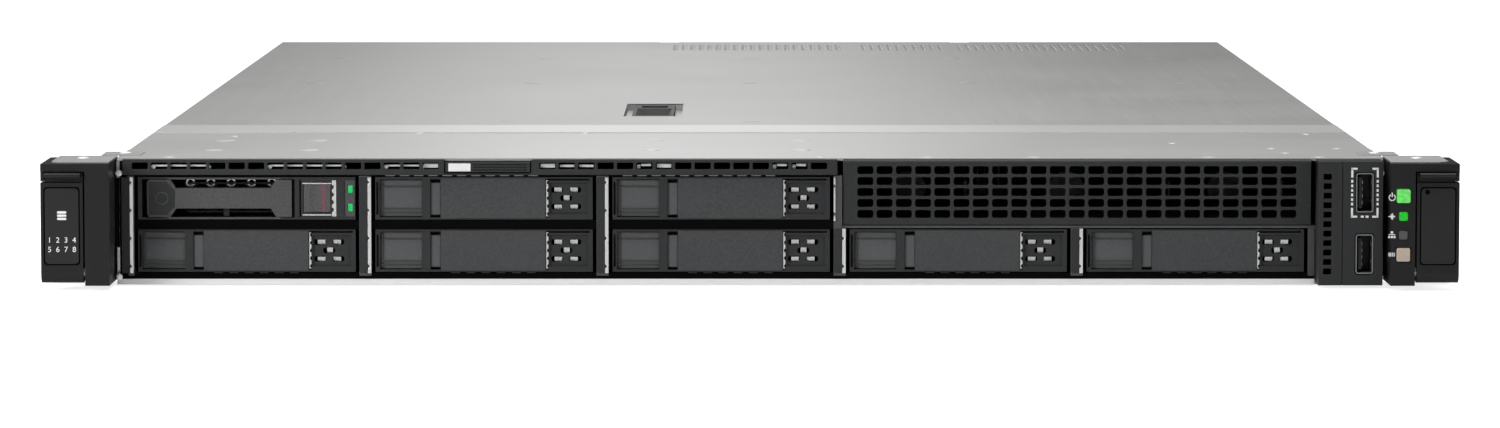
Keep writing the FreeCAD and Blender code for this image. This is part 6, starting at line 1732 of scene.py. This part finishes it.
# %% Small parts on the system board
BOARD_CHIPS = [
    (-60.0, 420.0, 26.0, 26.0, 2.6), (60.0, 500.0, 19.0, 19.0, 2.2), (0.0, 466.0, 14.0, 20.0, 1.8),
    (130.0, 440.0, 12.0, 12.0, 1.6), (-150.0, 470.0, 22.0, 14.0, 2.0), (170.0, 500.0, 16.0, 10.0, 1.8),
]
HEADERS = [
    (-190.0, 380.0), (-110.0, 380.0), (110.0, 380.0),
    (190.0, 380.0), (-60.0, 520.0), (150.0, 560.0),
]
parts = []
for x, y, width, depth, height in BOARD_CHIPS:
    on_chip = from_place(x, y, BOARD_TOP)
    chip = on_chip("board_chip", -width / 2, width / 2, -depth / 2, depth / 2, -0.1, height)
    polish(chip, black_plastic, 0.2)
    parts.append(chip)
for x in (-140.0, -68.0, 68.0, 140.0):
    cans = rod("capacitor", (x, 186.0, BOARD_TOP - 0.1), "Z", 8.0, 3.0, 24)
    repeat(cans, 2, x=7.4)
    polish(cans, bright_metal, 0.4)
    parts.append(cans)
coils = on_board("coil", -140.0, -133.0, 346.0, 353.0, -0.1, 5.0)
repeat(coils, 8, x=9.0)
more_coils = twin(coils, "more_coils", x=210.0)
for coil in (coils, more_coils):
    polish(coil, dark_lens, 0.5)
    parts.append(coil)
cell = rod("coin_cell", (30.0, 420.0, BOARD_TOP + 1.0), "Z", 3.0, 10.0, 48)
polish(cell, bright_metal, 0.4)
parts.append(cell)
for x, y in HEADERS:
    on_header = from_place(x, y, BOARD_TOP)
    header = on_header("header", -12.0, 12.0, -3.0, 3.0, -0.1, 7.0)
    punch(header, on_header("header_room", -10.8, 10.8, -1.8, 1.8, 1.5, 8.0))
    polish(header, socket_plastic, 0.25)
    parts.append(header)
board_parts = assemble("board_parts", *parts)
fit(board_parts, None, "chassis", "circuit_board")
print("board parts:", len(parts))

# %% [markdown]
# The two cables are drawn as a curve along a few points, given a round section and turned into a mesh.

# %% Round cables
def cable_piece(name, points, radius):
    bpy.ops.object.select_all(action="DESELECT")
    bpy.ops.curve.primitive_nurbs_path_add(location=(0, 0, 0))
    route = bpy.context.active_object
    spline = route.data.splines[0]
    spline.use_endpoint_u = True
    spline.order_u = 3
    for point, place in zip(spline.points, points):
        point.co = (place[0] * MM, place[1] * MM, place[2] * MM, 1.0)
    route.data.bevel_depth = radius * MM
    route.data.bevel_resolution = 5
    route.data.resolution_u = 10
    bpy.ops.object.convert(target="MESH")
    piece = settle(name)
    only(piece)
    bpy.ops.object.shade_smooth_by_angle(angle=math.radians(60.0))
    return piece


PANEL_ROUTE = [
    (
        209.8, -8.0, 12.0), (209.8, 40.0, 12.2), (208.0, 100.0, 14.2), (204.0, 150.0, 12.8), (200.3,
        169.5, 12.0),
]
DRIVE_ROUTE = [
    (-203.0, 105.0, 24.0), (-204.0, 120.0, 23.0), (-205.6, 142.0, 18.5),
    (-202.4, 160.0, 13.6), (-198.0, 181.0, 12.0),
]
panel_cable = cable_piece("panel_cable", PANEL_ROUTE, 2.0)
drive_cable = cable_piece("drive_cable", DRIVE_ROUTE, 2.5)
plugs = []
for x, y, z in ((200.3, 178.0, 10.6), (-198.0, 182.0, 10.6)):
    plug = block("cable_plug", x - 7.0, x + 7.0, y - 4.0, y + 7.0, z - 3.0, z + 5.0)
    soften(plug, 0.5)
    plugs.append(plug)
cables = assemble("inner_cable_runs", panel_cable, drive_cable, *plugs)
fit(cables, cable_rubber, "chassis", "cable_jacket", "inner_cables")
print("cable faces:", len(cables.data.polygons))

# %% [markdown]
# The last small parts are the screws and the studs that hold the server on its rails.
# Each head is a short rod with softened rims, and a cross is cut in it for the driver.

# %% Screws and rail studs
def screw_head(x, y, z, side, radius, high):
    start = x if side > 0 else x - high
    head = rod("screw_head", (start, y, z), "X", high, radius, 32)
    a, b = (x + high * 0.4, x + high + 1) if side > 0 else (x - high - 1, x - high * 0.4)
    punch(
        head,
        block("cross", a, b, y - 1.5, y + 1.5, z - 0.3, z + 0.3),
        block("cross", a, b, y - 0.3, y + 0.3, z - 1.5, z + 1.5),
    )
    soften(head, 0.25)
    return head


STUD_PLACES = (60.1, 240.3, 440.5, 660.9)
heads = []
studs = []
racks = []
for side in (-1, 1):
    for z in (10.0, 32.0):
        heads.append(screw_head(side * 218.9, 38.0, z, side, 2.4, 1.6))
    for y in STUD_PLACES:
        start = 217.3 if side > 0 else -219.4
        neck = rod("stud_neck", (start, y, MIDDLE_Z), "X", 2.1, 1.9, 24)
        start = 219.2 if side > 0 else -220.5
        stud_cap = rod("stud_cap", (start, y, MIDDLE_Z), "X", 1.3, 3.6, 40)
        soften(stud_cap, 0.3)
        studs += [neck, stud_cap]
    rack_x = side * RACK_SCREW_X
    head = rod("rack_head", (rack_x, -8.0, MIDDLE_Z), "Y", 6.0, 3.9, 40)
    driver_cross(head, rack_x, MIDDLE_Z, -9.0, -6.4, 2.4, 0.5)
    soften(head, 0.4)
    thread = rod("rack_thread", (rack_x, -3.0, MIDDLE_Z), "Y", 9.0, 2.4, 24)
    racks += [head, thread]
GROUPS = [
    ("bracket_screws", heads, "screws"),
    ("stud_set", studs, "rail_studs"),
    ("rack_screw_set", racks, "rack_screws"),
]
for name, group, replaced in GROUPS:
    piece = assemble(name, *group)
    fit(piece, bright_metal, "chassis", "chassis_steel", replaced)
print("bracket screws:", len(heads), "studs:", len(studs) // 2, "rack screws:", len(racks) // 2)
